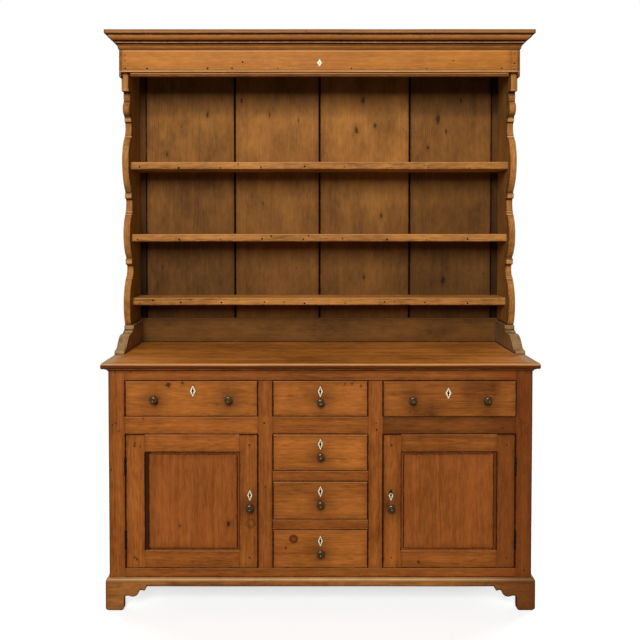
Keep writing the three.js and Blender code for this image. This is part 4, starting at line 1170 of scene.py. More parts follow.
class DRESSER_OT_carcass(bpy.types.Operator):
    """Build the base's sides, partitions, bottom and back boards"""

    bl_idname = "dresser.carcass"
    bl_label = "Carcass"

    def execute(self, context):
        for name, side in SIDES.items():
            self.base_side(name, side)
            self.partition(name, side)
        low, high = extent("base_bottom_board")
        piece = Piece("base_bottom_boards")
        middle = low[Y] + (high[Y] - low[Y]) * base_bottom_joint_share
        board(piece, *sized(low, high, y=(low[Y], middle)), X)
        board(piece, *sized(low, high, y=(middle, high[Y])), X)
        piece.make(BODY, "pine_inside", "base_bottom_board")
        back_boards("base_back_boards", base_back_shares, "pine_inside", (base_back_gap,) * 4, base_back_tones)
        return {"FINISHED"}

    def base_side(self, name, side):
        """Two upright boards, with the strips that carry and guide the side drawer"""
        low, high = extent(f"base_side_{name}")
        outer = (low if side < 0 else high)[X]
        inner = outer - side * base_side_thickness
        piece = Piece(f"base_side_{name}_boards")
        across = sorted((outer, inner))
        middle = low[Y] + (high[Y] - low[Y]) * base_side_joint_share
        board(piece, *sized(low, high, x=across, y=(low[Y], middle)), Z, joint_side_arris)
        board(piece, *sized(low, high, x=across, y=(middle, high[Y])), Z, joint_side_arris, tone=-0.3)
        strips(piece, f"drawer_{name}", side, inner, (low[Y], high[Y]), True)
        piece.make(BODY, "pine_base", f"base_side_{name}")

    def partition(self, name, side):
        """An upright board behind a muntin, with strips for the drawers on both faces"""
        low, high = extent(f"partition_{name}")
        middle = middle_of(f"muntin_{name}")[X]
        faces = (middle - partition_thickness / 2, middle + partition_thickness / 2)
        piece = Piece(f"partition_{name}_boards")
        board(piece, *sized(low, high, x=faces), Z, hidden_arris)
        inner_face, outer_face = faces[::-side]
        strips(piece, f"drawer_{name}", -side, outer_face, (low[Y], high[Y]), True)
        for row in range(1, 5):
            strips(piece, f"drawer_centre_{row}", side, inner_face, (low[Y], high[Y]), row < 4)
        piece.make(BODY, "pine_inside", f"partition_{name}")


def strips(piece, drawer, side, face, depth, runner):
    """The guide beside one side of a drawer, and the runner under it, fixed to a board's face"""
    low, high = extent(drawer)
    edge = (low if side < 0 else high)[X]
    rest = low[Z] - sit_gap
    across = sorted((edge + side * guide_gap, face))
    board(piece, (across[0], depth[0], rest), (across[1], depth[1], rest + guide_height), Y, strip_arris)
    if runner:
        across = sorted((edge - side * runner_grip, face))
        board(piece, (across[0], depth[0], rest - runner_height), (across[1], depth[1], rest), Y, strip_arris)


def darkening(tone, fall, points):
    """A tone that falls by an amount from the top bay of the rack to the next one, and a little more below: painted
    shade that deepens into the lower bays. A painted shadow of the frieze darkens the highest part. The back is even."""
    falling = np.interp(points[..., Z], *bay_shade_by_height)
    frieze_shadow = np.interp(points[..., Z], *frieze_shadow_by_height)
    front = points[..., Y] < points[..., Y].mean()
    return np.where(front, tone - fall * falling - frieze_shadow, 0.3)


def back_boards(node, shares, slot, gaps, tones, falls=(0.0,) * 5):
    """Upright back boards with a gap between each two, closed by the tongue behind it, whose dark void finish paints
    the shade in the gap. Where falls are given, painted shade darkens the boards downwards.
    """
    low, high = extent(node)
    half = (high[X] - low[X]) / 2
    edges = [low[X], *(share * half for share in shares), high[X]]
    widths = [0, *gaps, 0]
    piece = Piece(f"{node}_set")
    for i in range(len(edges) - 1):
        across = (edges[i] + widths[i] / 2, edges[i + 1] - widths[i + 1] / 2)
        shade = partial(darkening, tones[i], falls[i])
        board(piece, *sized(low, high, x=across), Z, back_arris, tone=shade)
    piece.make(BODY, slot, node)
    tongues = Piece(f"{node}_tongues")
    for share, gap in zip(shares, gaps):
        first = (share * half - gap, low[Y] + tongue_depths[0], low[Z] + tongue_drop)
        last = (share * half + gap, high[Y] - tongue_depths[1], high[Z] - tongue_drop)
        board(tongues, first, last, Z, tongue_arris)
    # The tongues' dark finish is painted shade seen through the gaps
    tongues.make(BODY, slot, finish="void")


class DRESSER_OT_face_frame(bpy.types.Operator):
    """Build the stiles, muntins and rails of the base's front"""

    bl_idname = "dresser.face_frame"
    bl_label = "Face frame"

    def execute(self, context):
        spans = {name: [extent(name)[i][Z] for i in (0, 1)] for name in ("top_rail", "waist_rail_left", "bottom_rail")}
        for name, side in SIDES.items():
            joints = [(-side, *span) for span in spans.values()]
            plain_board(f"stile_{name}", "pine_base", Z, frame_tones[f"stile_{name}"], frame_arris, flush=joints)
            waist = spans["waist_rail_left"]
            joints = [(side, *waist), (-side, *waist)]
            plain_board(f"muntin_{name}", "pine_base", Z, frame_tones[f"muntin_{name}"], frame_arris, flush=joints)
        for node in ("top_rail", "bottom_rail", "waist_rail_left", "waist_rail_centre", "waist_rail_right"):
            plain_board(node, "pine_base", X, frame_tones[node], frame_arris)
        for node in ("drawer_rail_1", "drawer_rail_2"):
            plain_board(node, "pine_base", X, frame_tones[node], rail_arris)
        self.pegs()
        return {"FINISHED"}

    def pegs(self):
        """Peg ends where the rails are tenoned into the stiles and the muntins"""
        places = []
        front = extent("stile_left")[0][Y]
        joints = {"stile": ("top_rail", "waist_rail_left", "bottom_rail"), "muntin": ("waist_rail_left",)}
        for name, side in SIDES.items():
            for column, rails in joints.items():
                x = middle_of(f"{column}_{name}")[X] + side * peg_offset[0]
                places += [(x, front, middle_of(rail)[Z] + peg_offset[1]) for rail in rails]
        nails("frame_pegs", places, peg_radius).make(BODY, "pine_base", finish="pine_channel")


class DRESSER_OT_plinth(bpy.types.Operator):
    """Build the plinth's three mitred boards with their bracket feet"""

    bl_idname = "dresser.plinth"
    bl_label = "Plinth"

    def execute(self, context):
        bracket = curve(bracket_shares, bracket_length, plinth_arch_height, 6)
        bracket = np.stack(stations(np.concatenate([[(0, 0)], bracket])[:, ::-1], frame_arris), -1)
        low, high = extent("plinth_front")
        inner = high[Y]
        across, rise = self.arch(bracket, low[X], high[X])
        inside = (low[X] + plinth_thickness, high[X] - plinth_thickness)
        corner = np.array(plinth_corner)
        keep = (across > inside[0] + corner[-1, 0]) & (across < inside[1] - corner[-1, 0])
        at = np.concatenate([inside[0] + corner[:, 0], across[keep], inside[1] - corner[::-1, 0]])
        rise = np.concatenate([corner[:, 1], rise[keep], corner[::-1, 1]])
        piece = Piece("plinth_front_board")
        radii = (foot_sole_arris, hidden_arris, hidden_arris, plinth_rounding)
        corners = [inside[0], low[Y], rise], [inside[1], high[Y], high[Z]]
        board(piece, *corners, X, radii, tone=self.fading, at=at, mitre=(1, 1, Y, inner, -1))
        piece.make(BODY, "pine_base", "plinth_front", finish="pine_plinth")
        for name, side in SIDES.items():
            low, high = extent(f"plinth_{name}")
            front = extent("plinth_front")[0][Y]
            along, rise = self.arch(bracket, front, high[Y])
            begin = low[Y] + plinth_thickness + corner[:, 0]
            keep = along > begin[-1]
            at = np.concatenate([begin, along[keep]])
            rise = np.concatenate([corner[:, 1], rise[keep]])
            plane = (high if side < 0 else low)[X]
            radii = (foot_sole_arris, plinth_rounding, hidden_arris, hidden_arris)
            radii = radii if side < 0 else radii[::-1]
            piece = Piece(f"plinth_{name}_board")
            corners = [low[X], at[0], rise], [high[X], high[Y], high[Z]]
            board(piece, *corners, Y, radii, tone=-0.3, at=at, mitre=(1, 0, X, plane, side))
            piece.make(BODY, "pine_base", f"plinth_{name}", finish="pine_plinth")
        return {"FINISHED"}

    def fading(self, points):
        """Tone over the front: the right foot is the darkest"""
        return np.interp(points[..., X], *plinth_tones)

    def arch(self, bracket, start, end):
        """Stations from start to end with the height of the board's lower edge at each, low over both feet"""
        rising = np.stack([start + bracket[:, 0], bracket[:, 1]], -1)
        falling = np.stack([end - bracket[:, 0], bracket[:, 1]], -1)[::-1]
        middle = np.linspace(start + bracket_length, end - bracket_length, 30)[1:-1]
        level = np.stack([middle, np.full(len(middle), plinth_arch_height)], -1)
        return np.concatenate([rising, level, falling]).T


class DRESSER_OT_worktop(bpy.types.Operator):
    """Build the worktop's boards and the moulding under its edge"""

    bl_idname = "dresser.worktop"
    bl_label = "Worktop"

    def execute(self, context):
        low, high = extent("worktop")
        piece = Piece("worktop_boards")
        first, second = (low[Y] + joint for joint in worktop_joints)
        radii = (worktop_nose, flush_arris, flush_arris, worktop_nose)
        ends = (worktop_end_arris, worktop_end_arris)
        clean = ((-1, low[X], high[X]),)
        front, middle, back = worktop_tones
        corners = sized(low, high, y=(low[Y], first))
        board(piece, *corners, X, radii, ends, front, nibble=fine_nibble, rubbed=nose_rubbed, flush=clean)
        board(piece, *sized(low, high, y=(first, second)), X, flush_arris, ends, middle)
        board(piece, *sized(low, high, y=(second, high[Y])), X, flush_arris, ends, back)
        piece.make(BODY, "pine_worktop", "worktop")
        low, high = extent("worktop_moulding")
        projection = extent("stile_left")[0][Y] - low[Y]
        outline = curve(under_moulding_shares, projection, high[Z] - low[Z], 6)[:-1]
        outline = np.concatenate([outline, [(0, high[Z] - low[Z])]])
        piece = Piece("worktop_moulding_strips")
        # The moulding's stripes are painted light against the worktop's shadow
        mouldings(piece, outline, low, high, projection, under_moulding_painted_light, hidden_arris)
        piece.make(BODY, "pine_base", "worktop_moulding")
        return {"FINISHED"}


def mouldings(piece, outline, low, high, projection, stripes, radius):
    """The left, front and right runs of a moulding whose outer box is low to high, mitred at the front corners"""
    left, right, front, back = low[X] + projection, high[X] - projection, low[Y] + projection, high[Y]
    runs = [
        ((left, back), (left, front), (-1, 0, 0), (0, 1)),
        ((left, front), (right, front), (0, -1, 0), (1, 1)),
        ((right, front), (right, back), (1, 0, 0), (1, 0)),
    ]
    for start, end, out, mitres in runs:
        moulding(piece, outline, (*start, low[Z]), (*end, low[Z]), out, mitres, stripes, radius)


class DRESSER_OT_drawers(bpy.types.Operator):
    """Build the six drawers, each with a front and a dovetailed box"""

    bl_idname = "dresser.drawers"
    bl_label = "Drawers"

    def execute(self, context):
        for name in drawer_names:
            self.drawer(name, drawer_tones[name])
        return {"FINISHED"}

    def drawer(self, name, tone):
        """A front, and behind it two sides, a back and a bottom of two boards"""
        low, high = extent(f"drawer_{name}")
        knobs = [node for node in frame["nodes"] if node.startswith(f"knob_drawer_{name}")]
        stains = [middle_of(node) for node in knobs]
        stains += [(x, low[Y], z) for x, z in handling_stains if low[X] < x < high[X] and low[Z] < z < high[Z]]
        front = Piece(f"drawer_{name}_front", stains)
        depth = (low[Y], low[Y] + front_thickness)
        board(front, *sized(low, high, y=depth), X, drawer_arris, (drawer_arris,) * 2, tone)
        slot = "pine_drawer_knot" if name == "centre_4" else "pine_drawer"
        front.make(f"drawer_{name}", "pine_drawer", f"drawer_{name}", finish=slot)

        box = Piece(f"drawer_{name}_box")
        back = low[Y] + front_thickness
        top = high[Z] - wall_drop
        for side in (-1, 1):
            outer = (low if side < 0 else high)[X]
            across = sorted((outer, outer - side * wall_thickness))
            board(box, (across[0], back, low[Z]), (across[1], high[Y], top), Y, hidden_arris)
            self.dovetails(box, outer, side, back, (low[Z], top))
        inner = (low[X] + wall_thickness, high[X] - wall_thickness)
        rise = low[Z] + drawer_bottom_rise
        top -= drawer_back_drop
        board(box, (inner[0], high[Y] - wall_thickness, rise), (inner[1], high[Y], top), X, hidden_arris)
        floor = (rise, rise + drawer_bottom_thickness)
        middle = (inner[0] + inner[1]) / 2
        for across in ((inner[0], middle), (middle, inner[1])):
            last = (across[1], high[Y] - wall_thickness, floor[1])
            board(box, (across[0], back, floor[0]), last, Y, joint_side_arris)
        box.make(f"drawer_{name}", "pine_inside", f"drawer_{name}")

    def dovetails(self, box, outer, side, back, up):
        """The tails of a drawer's side, which show on the end of its front: boards that widen forwards"""
        count = max(2, round((up[1] - up[0]) / dovetail_pitch))
        pitch = (up[1] - up[0]) / count
        depth = back + np.array(dovetail_reach)
        across = sorted((outer - side * dovetail_depth, outer + side * dovetail_proud))
        for i in range(count):
            middle = up[0] + (i + 0.5) * pitch
            half = np.array(dovetail_shares) * pitch
            corners = [across[0], depth[0], middle - half], [across[1], depth[1], middle + half]
            board(box, *corners, Y, dovetail_proud, at=depth, tone=-0.4)


class DRESSER_OT_doors(bpy.types.Operator):
    """Build the two panelled doors"""

    bl_idname = "dresser.doors"
    bl_label = "Doors"

    def execute(self, context):
        for name, side in SIDES.items():
            self.frame(name, side)
            self.panel(name, side)
        return {"FINISHED"}

    def frame(self, name, side):
        """Two stiles with two rails between them, pegged at the corners"""
        low, high = extent(f"door_frame_{name}")
        piece = Piece(f"door_{name}_frame", [middle_of(f"knob_door_{name}")])
        tones = door_stile_tones[name]
        widths = (hinge_stile_width[name], door_stile_width)[::-side]
        rails = (low[X] + widths[0], high[X] - widths[1])
        levels = ((low[Z], low[Z] + door_rail_width), (high[Z] - door_rail_width, high[Z]))
        for across, inwards, tone in (((low[X], rails[0]), 1, tones[0]), ((rails[1], high[X]), -1, tones[1])):
            joints = [(inwards, *level) for level in levels]
            board(piece, *sized(low, high, x=across), Z, door_arris, (door_arris,) * 2, tone, flush=joints)
        for level, tone in zip(levels, door_rail_tones[name]):
            board(piece, *sized(low, high, x=rails, z=level), X, door_arris, tone=tone)
        piece.make(f"door_{name}", "pine_base", f"door_frame_{name}")
        aside, up = door_stile_width * door_peg_shares[0], door_rail_width * door_peg_shares[1]
        columns, rows = (low[X] + aside, high[X] - aside), (low[Z] + up, high[Z] - up)
        pegs = nails(f"door_{name}_pegs", [(x, low[Y], z) for x in columns for z in rows], door_peg_radius)
        pegs.make(f"door_{name}", "pine_base", finish="pine_channel")

    def panel(self, name, side):
        """A thin plate held in the frame's groove, with a raised field in front of it"""
        low, high = extent(f"door_panel_{name}")
        door_low, door_high = extent(f"door_frame_{name}")
        widths = (hinge_stile_width[name], door_stile_width)[::-side]
        hole = (door_low[X] + widths[0], door_high[X] - widths[1])
        margins = (hinge_channel[name], panel_channel)[::-side]
        field = (hole[0] + margins[0], hole[1] - margins[1])
        up = (door_low[Z] + door_rail_width + panel_channel, door_high[Z] - door_rail_width - panel_channel)
        middle = (low[Y] + high[Y]) / 2
        piece = Piece(f"door_{name}_panel")
        corners = (field[0], low[Y], up[0]), (field[1], middle, up[1])
        board(piece, *corners, Z, field_arris, (field_arris,) * 2, panel_tone, nibble=fine_nibble)
        piece.make(f"door_{name}", "pine_panel", f"door_panel_{name}")
        cut = field[0] + panel_plate_cut if side < 0 else field[1] - panel_plate_cut
        halves = ((low[X], cut), (cut, high[X]))[::-side]
        for (finish, tone), across in zip(panel_plates[name], halves):
            plate = Piece(f"door_{name}_plate")
            depth = (high[Y] - panel_plate_thickness, high[Y])
            board(plate, *sized(low, high, x=across, y=depth), Z, tongue_arris, tone=tone)
            plate.make(f"door_{name}", "pine_panel", f"door_panel_{name}", finish=finish)


class DRESSER_OT_knobs(bpy.types.Operator):
    """Turn the ten bronze knobs"""

    bl_idname = "dresser.knobs"
    bl_label = "Knobs"

    def execute(self, context):
        head = curve(knob_shares, knob_radius, knob_projection - knob_seat_gap, 5)
        head[:, 1] += knob_seat_gap
        spindle = np.array([(0.0005, -knob_spindle_length), (knob_spindle_radius, -knob_spindle_length)])
        collar = np.array([(knob_spindle_radius, 0.0), (knob_radius * 0.6, knob_seat_gap)])
        profile = np.concatenate([spindle, collar, head]) * (1, -1)
        for node in sorted(frame["nodes"]):
            if not node.startswith("knob_"):
                continue
            x, _, z = middle_of(node)
            piece = Piece(f"{node}_turned")
            turned(piece, profile, (x, extent(node)[1][Y] - knob_spindle_length, z), Y, 48)
            body = node.removeprefix("knob_")
            body = body if body in frame["bodies"] else body.rsplit("_", 1)[0]
            piece.make(body, "knob_bronze", node, stray=0)
        return {"FINISHED"}


def polar(angle, up, down, half):
    """Radius of a kite about its widest line: 1 / (|cos| / half width + |sin| / height), up or down"""
    height = np.where(np.sin(angle) > 0, up, down)
    return 1 / (np.abs(np.cos(angle)) / half + np.abs(np.sin(angle)) / height)


def keyhole(angle, round_radius, down, up):
    """Radius of a keyhole about the middle of its round part: the circle's, or that of the worn slots below and
    above it, each (half width, length), where they are longer"""
    sine, cosine = np.sin(angle), np.maximum(np.abs(np.cos(angle)), 1e-6)
    slots = [
        np.where(sine * way > 0, np.minimum(half / cosine, length / np.maximum(sine * way, 1e-6)), 0)
        for way, (half, length) in ((-1, down), (1, up))
    ]
    return np.maximum(round_radius, np.maximum(*slots))


def compass(count):
    """Angles evenly round a circle, and their directions in the plane of the front"""
    angle = np.linspace(0, 2 * math.pi, count, endpoint=False)
    return angle, np.stack([np.cos(angle), np.zeros(count), np.sin(angle)], -1)


class DRESSER_OT_key_plates(bpy.types.Operator):
    """Build the bone key plates with their keyholes"""

    bl_idname = "dresser.key_plates"
    bl_label = "Key plates"

    def execute(self, context):
        sizes = context.scene.dresser_sizes
        for name in drawer_names:
            low, high = extent(f"drawer_{name}")
            drop = key_plate_drops.get(name, usual_plate_drop)
            place = (middle_of(f"drawer_{name}")[X] * plate_inwards, low[Y], high[Z] - drop)
            self.plate(name, f"drawer_{name}", place, sizes)
        for name in SIDES:
            knob = f"knob_door_{name}"
            front = extent(f"door_frame_{name}")[0][Y]
            place = (middle_of(knob)[X], front, extent(knob)[1][Z] + door_plate_rise)
            self.plate(f"door_{name}", f"door_{name}", place, sizes)
        self.frieze_plate()
        return {"FINISHED"}

    def plate(self, name, body, place, sizes):
        """Rings between the keyhole's outline and the kite's, about one centre: up the hole's wall, over the
        plate and down its bevelled rim, joined into a closed band"""
        angle, direction = compass(120)
        inner = keyhole(angle, keyhole_radius, *keyhole_slots)
        up = worn_plate_up if name == "door_right" else plate_up
        half = sizes.plate_width / 2 * plate_widths.get(name, usual_plate_width)
        outer = polar(angle, sizes.plate_height * up, sizes.plate_height * plate_down, half)
        outer = np.maximum(outer, inner + plate_least_width)
        share, rise = np.transpose(plate_section)
        radius = inner + (outer - inner) * share[:, None]
        rings = radius[..., None] * direction
        rings[..., Y] = -rise[:, None] * sizes.plate_thickness
        edge = np.minimum(outer - radius, radius - inner)
        piece = Piece(f"key_plate_{name}")
        piece.surface(rings + place, 0.0, np.maximum(edge, 0), rings, 0.0, closed=True)
        piece.make(body, "bone")
        hole = Piece(f"lock_{name}")
        up, down = (sizes.plate_height * share for share in seat_shares)
        seat = np.maximum(inner * 1.04, polar(angle, up, down, half + seat_margin))
        rings = seat[:, None] * direction + np.array([0, 1, 0]) * np.array(lock_depths)[:, None, None]
        hole.surface(rings + place, 0.0, 0.01, rings, 0.0)
        # A dark disc behind the keyhole: painted shade of the lock's inside
        hole.make(body, "hinge_iron", finish="void")

    def frieze_plate(self):
        """The small solid lozenge in the middle of the frieze, with a bevelled rim"""
        low, high = extent("frieze_key_plate")
        centre = middle_of("frieze_key_plate")
        centre[Y] = high[Y]
        half, rise = (high[X] - low[X]) / 2, (high[Z] - low[Z]) / 2
        angle, direction = compass(80)
        share, depth = np.transpose(lozenge_section)
        outline = polar(angle, rise, rise, half)
        rings = share[:, None, None] * outline[:, None] * direction
        rings[..., Y] = -depth[:, None] * (high[Y] - low[Y])
        piece = Piece("frieze_lozenge")
        piece.surface(rings + centre, 0.0, (1 - share)[:, None] * outline, rings, 0.0)
        piece.make(BODY, "bone", "frieze_key_plate")
        hole = Piece("frieze_lozenge_hole")
        slit = np.stack([polar(angle, *frieze_slit)[:, None] * direction] * 2)
        slit[..., Y] = low[Y] - high[Y] + np.array(lock_depths)[:, None]
        hole.surface(slit + centre, 0.0, 0.01, slit, 0.0)
        # A dark slit behind the lozenge: painted shade of its hole
        hole.make(BODY, "hinge_iron", finish="void")


class DRESSER_OT_hinges(bpy.types.Operator):
    """Build the doors' butt hinges"""

    bl_idname = "dresser.hinges"
    bl_label = "Hinges"

    def execute(self, context):
        pins = {joint["child"]: joint["pos_m"] for joint in frame["joints"] if joint["type"] == "hinge"}
        for name, side in SIDES.items():
            axis = pins[f"door_{name}"]
            for level in ("upper", "lower"):
                self.hinge(f"hinge_{name}_{level}", name, side, axis)
        return {"FINISHED"}

    def hinge(self, node, name, side, axis):
        """Three turned knuckles on a pin, the outer two fixed, and the edges of two leaves behind them"""
        low, high = extent(f"{node}_fixed")
        third = (high[Z] - low[Z]) / 3
        fixed, moving = Piece(f"{node}_fixed_leaf"), Piece(f"{node}_moving_leaf")
        for i, piece in enumerate((fixed, moving, fixed)):
            up = (low[Z] + i * third + hinge_running_gap, low[Z] + (i + 1) * third - hinge_running_gap)
            share, height = np.transpose(knuckle_section)
            profile = np.stack([share * hinge_barrel_radius, np.repeat(up, 3) + height], -1)
            turned(piece, profile, (axis[0], axis[1], 0), Z, 24)
        start, end = (axis[1] + step for step in hinge_leaf_span)
        for piece, way in ((fixed, 1), (moving, -1)):
            places = (way * (hinge_leaf_half_gap - hinge_leaf_thickness), way * hinge_leaf_half_gap)
            across = sorted(axis[0] + side * place for place in places)
            board(piece, (across[0], start, low[Z]), (across[1], end, high[Z]), Z, hinge_leaf_arris)
        fixed.make(BODY, "hinge_iron", f"{node}_fixed", stray=0)
        moving.make(f"door_{name}", "hinge_iron", f"{node}_turning", stray=0)


class DRESSER_OT_rack(bpy.types.Operator):
    """Build the plate rack: scrolled sides, shelves, back boards and back rail"""

    bl_idname = "dresser.rack"
    bl_label = "Rack"

    def execute(self, context):
        sizes = context.scene.dresser_sizes
        for name in SIDES:
            self.side(name)
        for name in shelf_names:
            plain_board(f"shelf_{name}", "pine_rack", X, shelf_tone, shelf_arris, nibble=shelf_nibble)
        gaps = (narrow_board_gap, *(sizes.board_gap,) * 3, narrow_board_gap)
        back_boards("rack_back_boards", back_board_shares, "pine_back", gaps, rack_back_tones, rack_back_shade_falls)
        plain_board("rack_back_rail", "pine_back", X, back_rail_shade_tone, back_rail_arris)
        self.hook_holes()
        return {"FINISHED"}

    def side(self, name):
        """An upright board whose front edge follows the scrolls, on a thicker foot below a scarf joint"""
        low, high = extent(f"rack_side_{name}")
        rail_face = extent("rack_back_rail")[0][Y]
        front, height = high[Y] - rack_depth, high[Z] - low[Z]
        outer, inner = (low[X], high[X]) if name == "left" else (high[X], low[X])
        joint = inner + rack_foot_pad * SIDES[name]
        piece = Piece(f"rack_side_{name}_board")
        along, depth = stations(curve(rack_edge_shares, rack_depth, height, 14)[::-1])
        across = sorted((outer, joint))
        corners = [across[0], front + depth, None], [across[1], high[Y], None]
        rubbed = rack_side_rubbed[name]
        board(piece, *corners, Z, drawer_arris, at=low[Z] + along, tone=rack_side_tone, rubbed=rubbed)
        proud, tall = quirk_proud, quirk_half_height
        for share in quirk_shares:
            y, z = front + np.interp(share * height, along, depth), low[Z] + share * height
            first = (across[0] - proud, y + quirk_reach[0], z - tall)
            last = (across[1] + proud, y + quirk_reach[1], z + tall)
            board(piece, first, last, X, strip_arris, tone=quirk_highlight_tone, rubbed=quirk_rubbed)
        piece.make(BODY, "pine_rack", f"rack_side_{name}")
        foot = Piece(f"rack_side_{name}_foot")
        along, depth = stations(curve(rack_foot_shares, rack_depth, height, 8)[::-1])
        across = sorted((outer, inner))
        corners = [across[0], front + depth, None], [across[1], rail_face, None]
        tone = rack_foot_tones[name]
        board(foot, *corners, Z, foot_arris, tone=tone, at=low[Z] + along, rubbed=rack_foot_rubbed)
        across = sorted((outer, joint))
        board(foot, (across[0], rail_face, low[Z]), (across[1], high[Y], low[Z] + along[-1]), Z)
        foot.make(BODY, "pine_rack", f"rack_side_{name}", finish="pine_foot")

    def hook_holes(self):
        """Small dark holes along the shelves' front edges, where cups once hung"""
        places = []
        draw = np.random.default_rng(5)
        for name in shelf_names:
            low, high = extent(f"shelf_{name}")
            face = low[Y] - hook_hole_proud
            for i in range(hook_count):
                x = hook_start + hook_pitch * i + draw.uniform(-0.008, 0.008)
                places.append((x, face, low[Z] + draw.uniform(0.006, 0.013)))
                if draw.uniform() < second_hook_share:
                    places.append((x + draw.uniform(0.02, 0.07), face, low[Z] + draw.uniform(0.015, 0.024)))
        # The holes are low dark domes on the face: painted shade for their depth
        piece = nails("shelf_hook_holes", places, hook_hole_radius)
        piece.make(BODY, "hinge_iron", finish="void")


class DRESSER_OT_frieze(bpy.types.Operator):
    """Build the frieze with its end pieces, bead and nails"""

    bl_idname = "dresser.frieze"
    bl_label = "Frieze"

    def execute(self, context):
        sizes = context.scene.dresser_sizes
        low, high = extent("frieze_board")
        bottom = high[Z] - frieze_height
        behind = low[Y] + frieze_thickness
        lips = (low[X] + return_lip, high[X] - return_lip)
        piece = Piece("frieze_boards")
        patch = lips[1] - frieze_patch
        for (start, end), tone in zip(((lips[0], patch), (patch, lips[1])), frieze_tones):
            clean = ((-1, start, end),)
            board(piece, (start, low[Y], bottom), (end, behind, high[Z]), X, frieze_arris, tone=tone, flush=clean)
        for side, lip in zip((-1, 1), lips):
            outer = (low if side < 0 else high)[X]
            across = sorted((outer, lip))
            corners = (across[0], low[Y], low[Z]), (across[1], behind, high[Z])
            board(piece, *corners, Z, frame_arris, (return_end_arris, flush_arris), return_tones[0])
            across = sorted((outer, outer - side * return_thickness))
            corners = (across[0], behind, low[Z]), (across[1], high[Y], high[Z])
            board(piece, *corners, Y, hidden_arris, tone=return_tones[1])
        rack = extent("rack_side_left")[1][X], extent("rack_side_right")[0][X]
        bead = (low[Y] + bead_setback, behind + bead_setback)
        corners = (rack[0], bead[0], bottom - bead_height), (rack[1], bead[1], bottom)
        board(piece, *corners, X, bead_radii, tone=bead_tone, nibble=bead_nibble, rubbed=bead_rubbed)
        piece.make(BODY, "pine_cornice", "frieze_board")

        places = [(x, low[Y], bottom + rise) for x, rises in frieze_nails for rise in rises]
        nails("frieze_nails", places, sizes.nail_radius).make(BODY, "hinge_iron", finish="void")
        x, rise, radius = filled_hole
        filled = nails("frieze_filled_holes", [(x, low[Y], bottom + rise)], radius)
        filled.make(BODY, "pine_cornice", finish="pine_channel")
        return {"FINISHED"}


class DRESSER_OT_cornice(bpy.types.Operator):
    """Build the cornice's three mitred mouldings and the boards that close its top"""

    bl_idname = "dresser.cornice"
    bl_label = "Cornice"

    def execute(self, context):
        low, high = extent("cornice")
        outline = curve(cornice_shares, cornice_projection, cornice_height, 12)
        piece = Piece("cornice_mouldings")
        # The stripes paint light and shade, and some grime, up the cornice
        stripes = [(share * cornice_height, tone) for share, tone in cornice_shade_and_grime_stripes]
        mouldings(piece, outline, low, high, cornice_projection, stripes, frame_arris)
        depth = (low[Y] + cornice_projection, high[Y])
        across = (low[X] + cornice_projection, high[X] - cornice_projection)
        middle = depth[0] + (depth[1] - depth[0]) * lid_joint_share
        for span in ((depth[0], middle), (middle, depth[1])):
            corners = (across[0], span[0], high[Z] - lid_thickness), (across[1], span[1], high[Z])
            board(piece, *corners, X, strip_arris, tone=lid_tone)
        piece.make(BODY, "pine_cornice", "cornice", finish="pine_moulding")
        return {"FINISHED"}


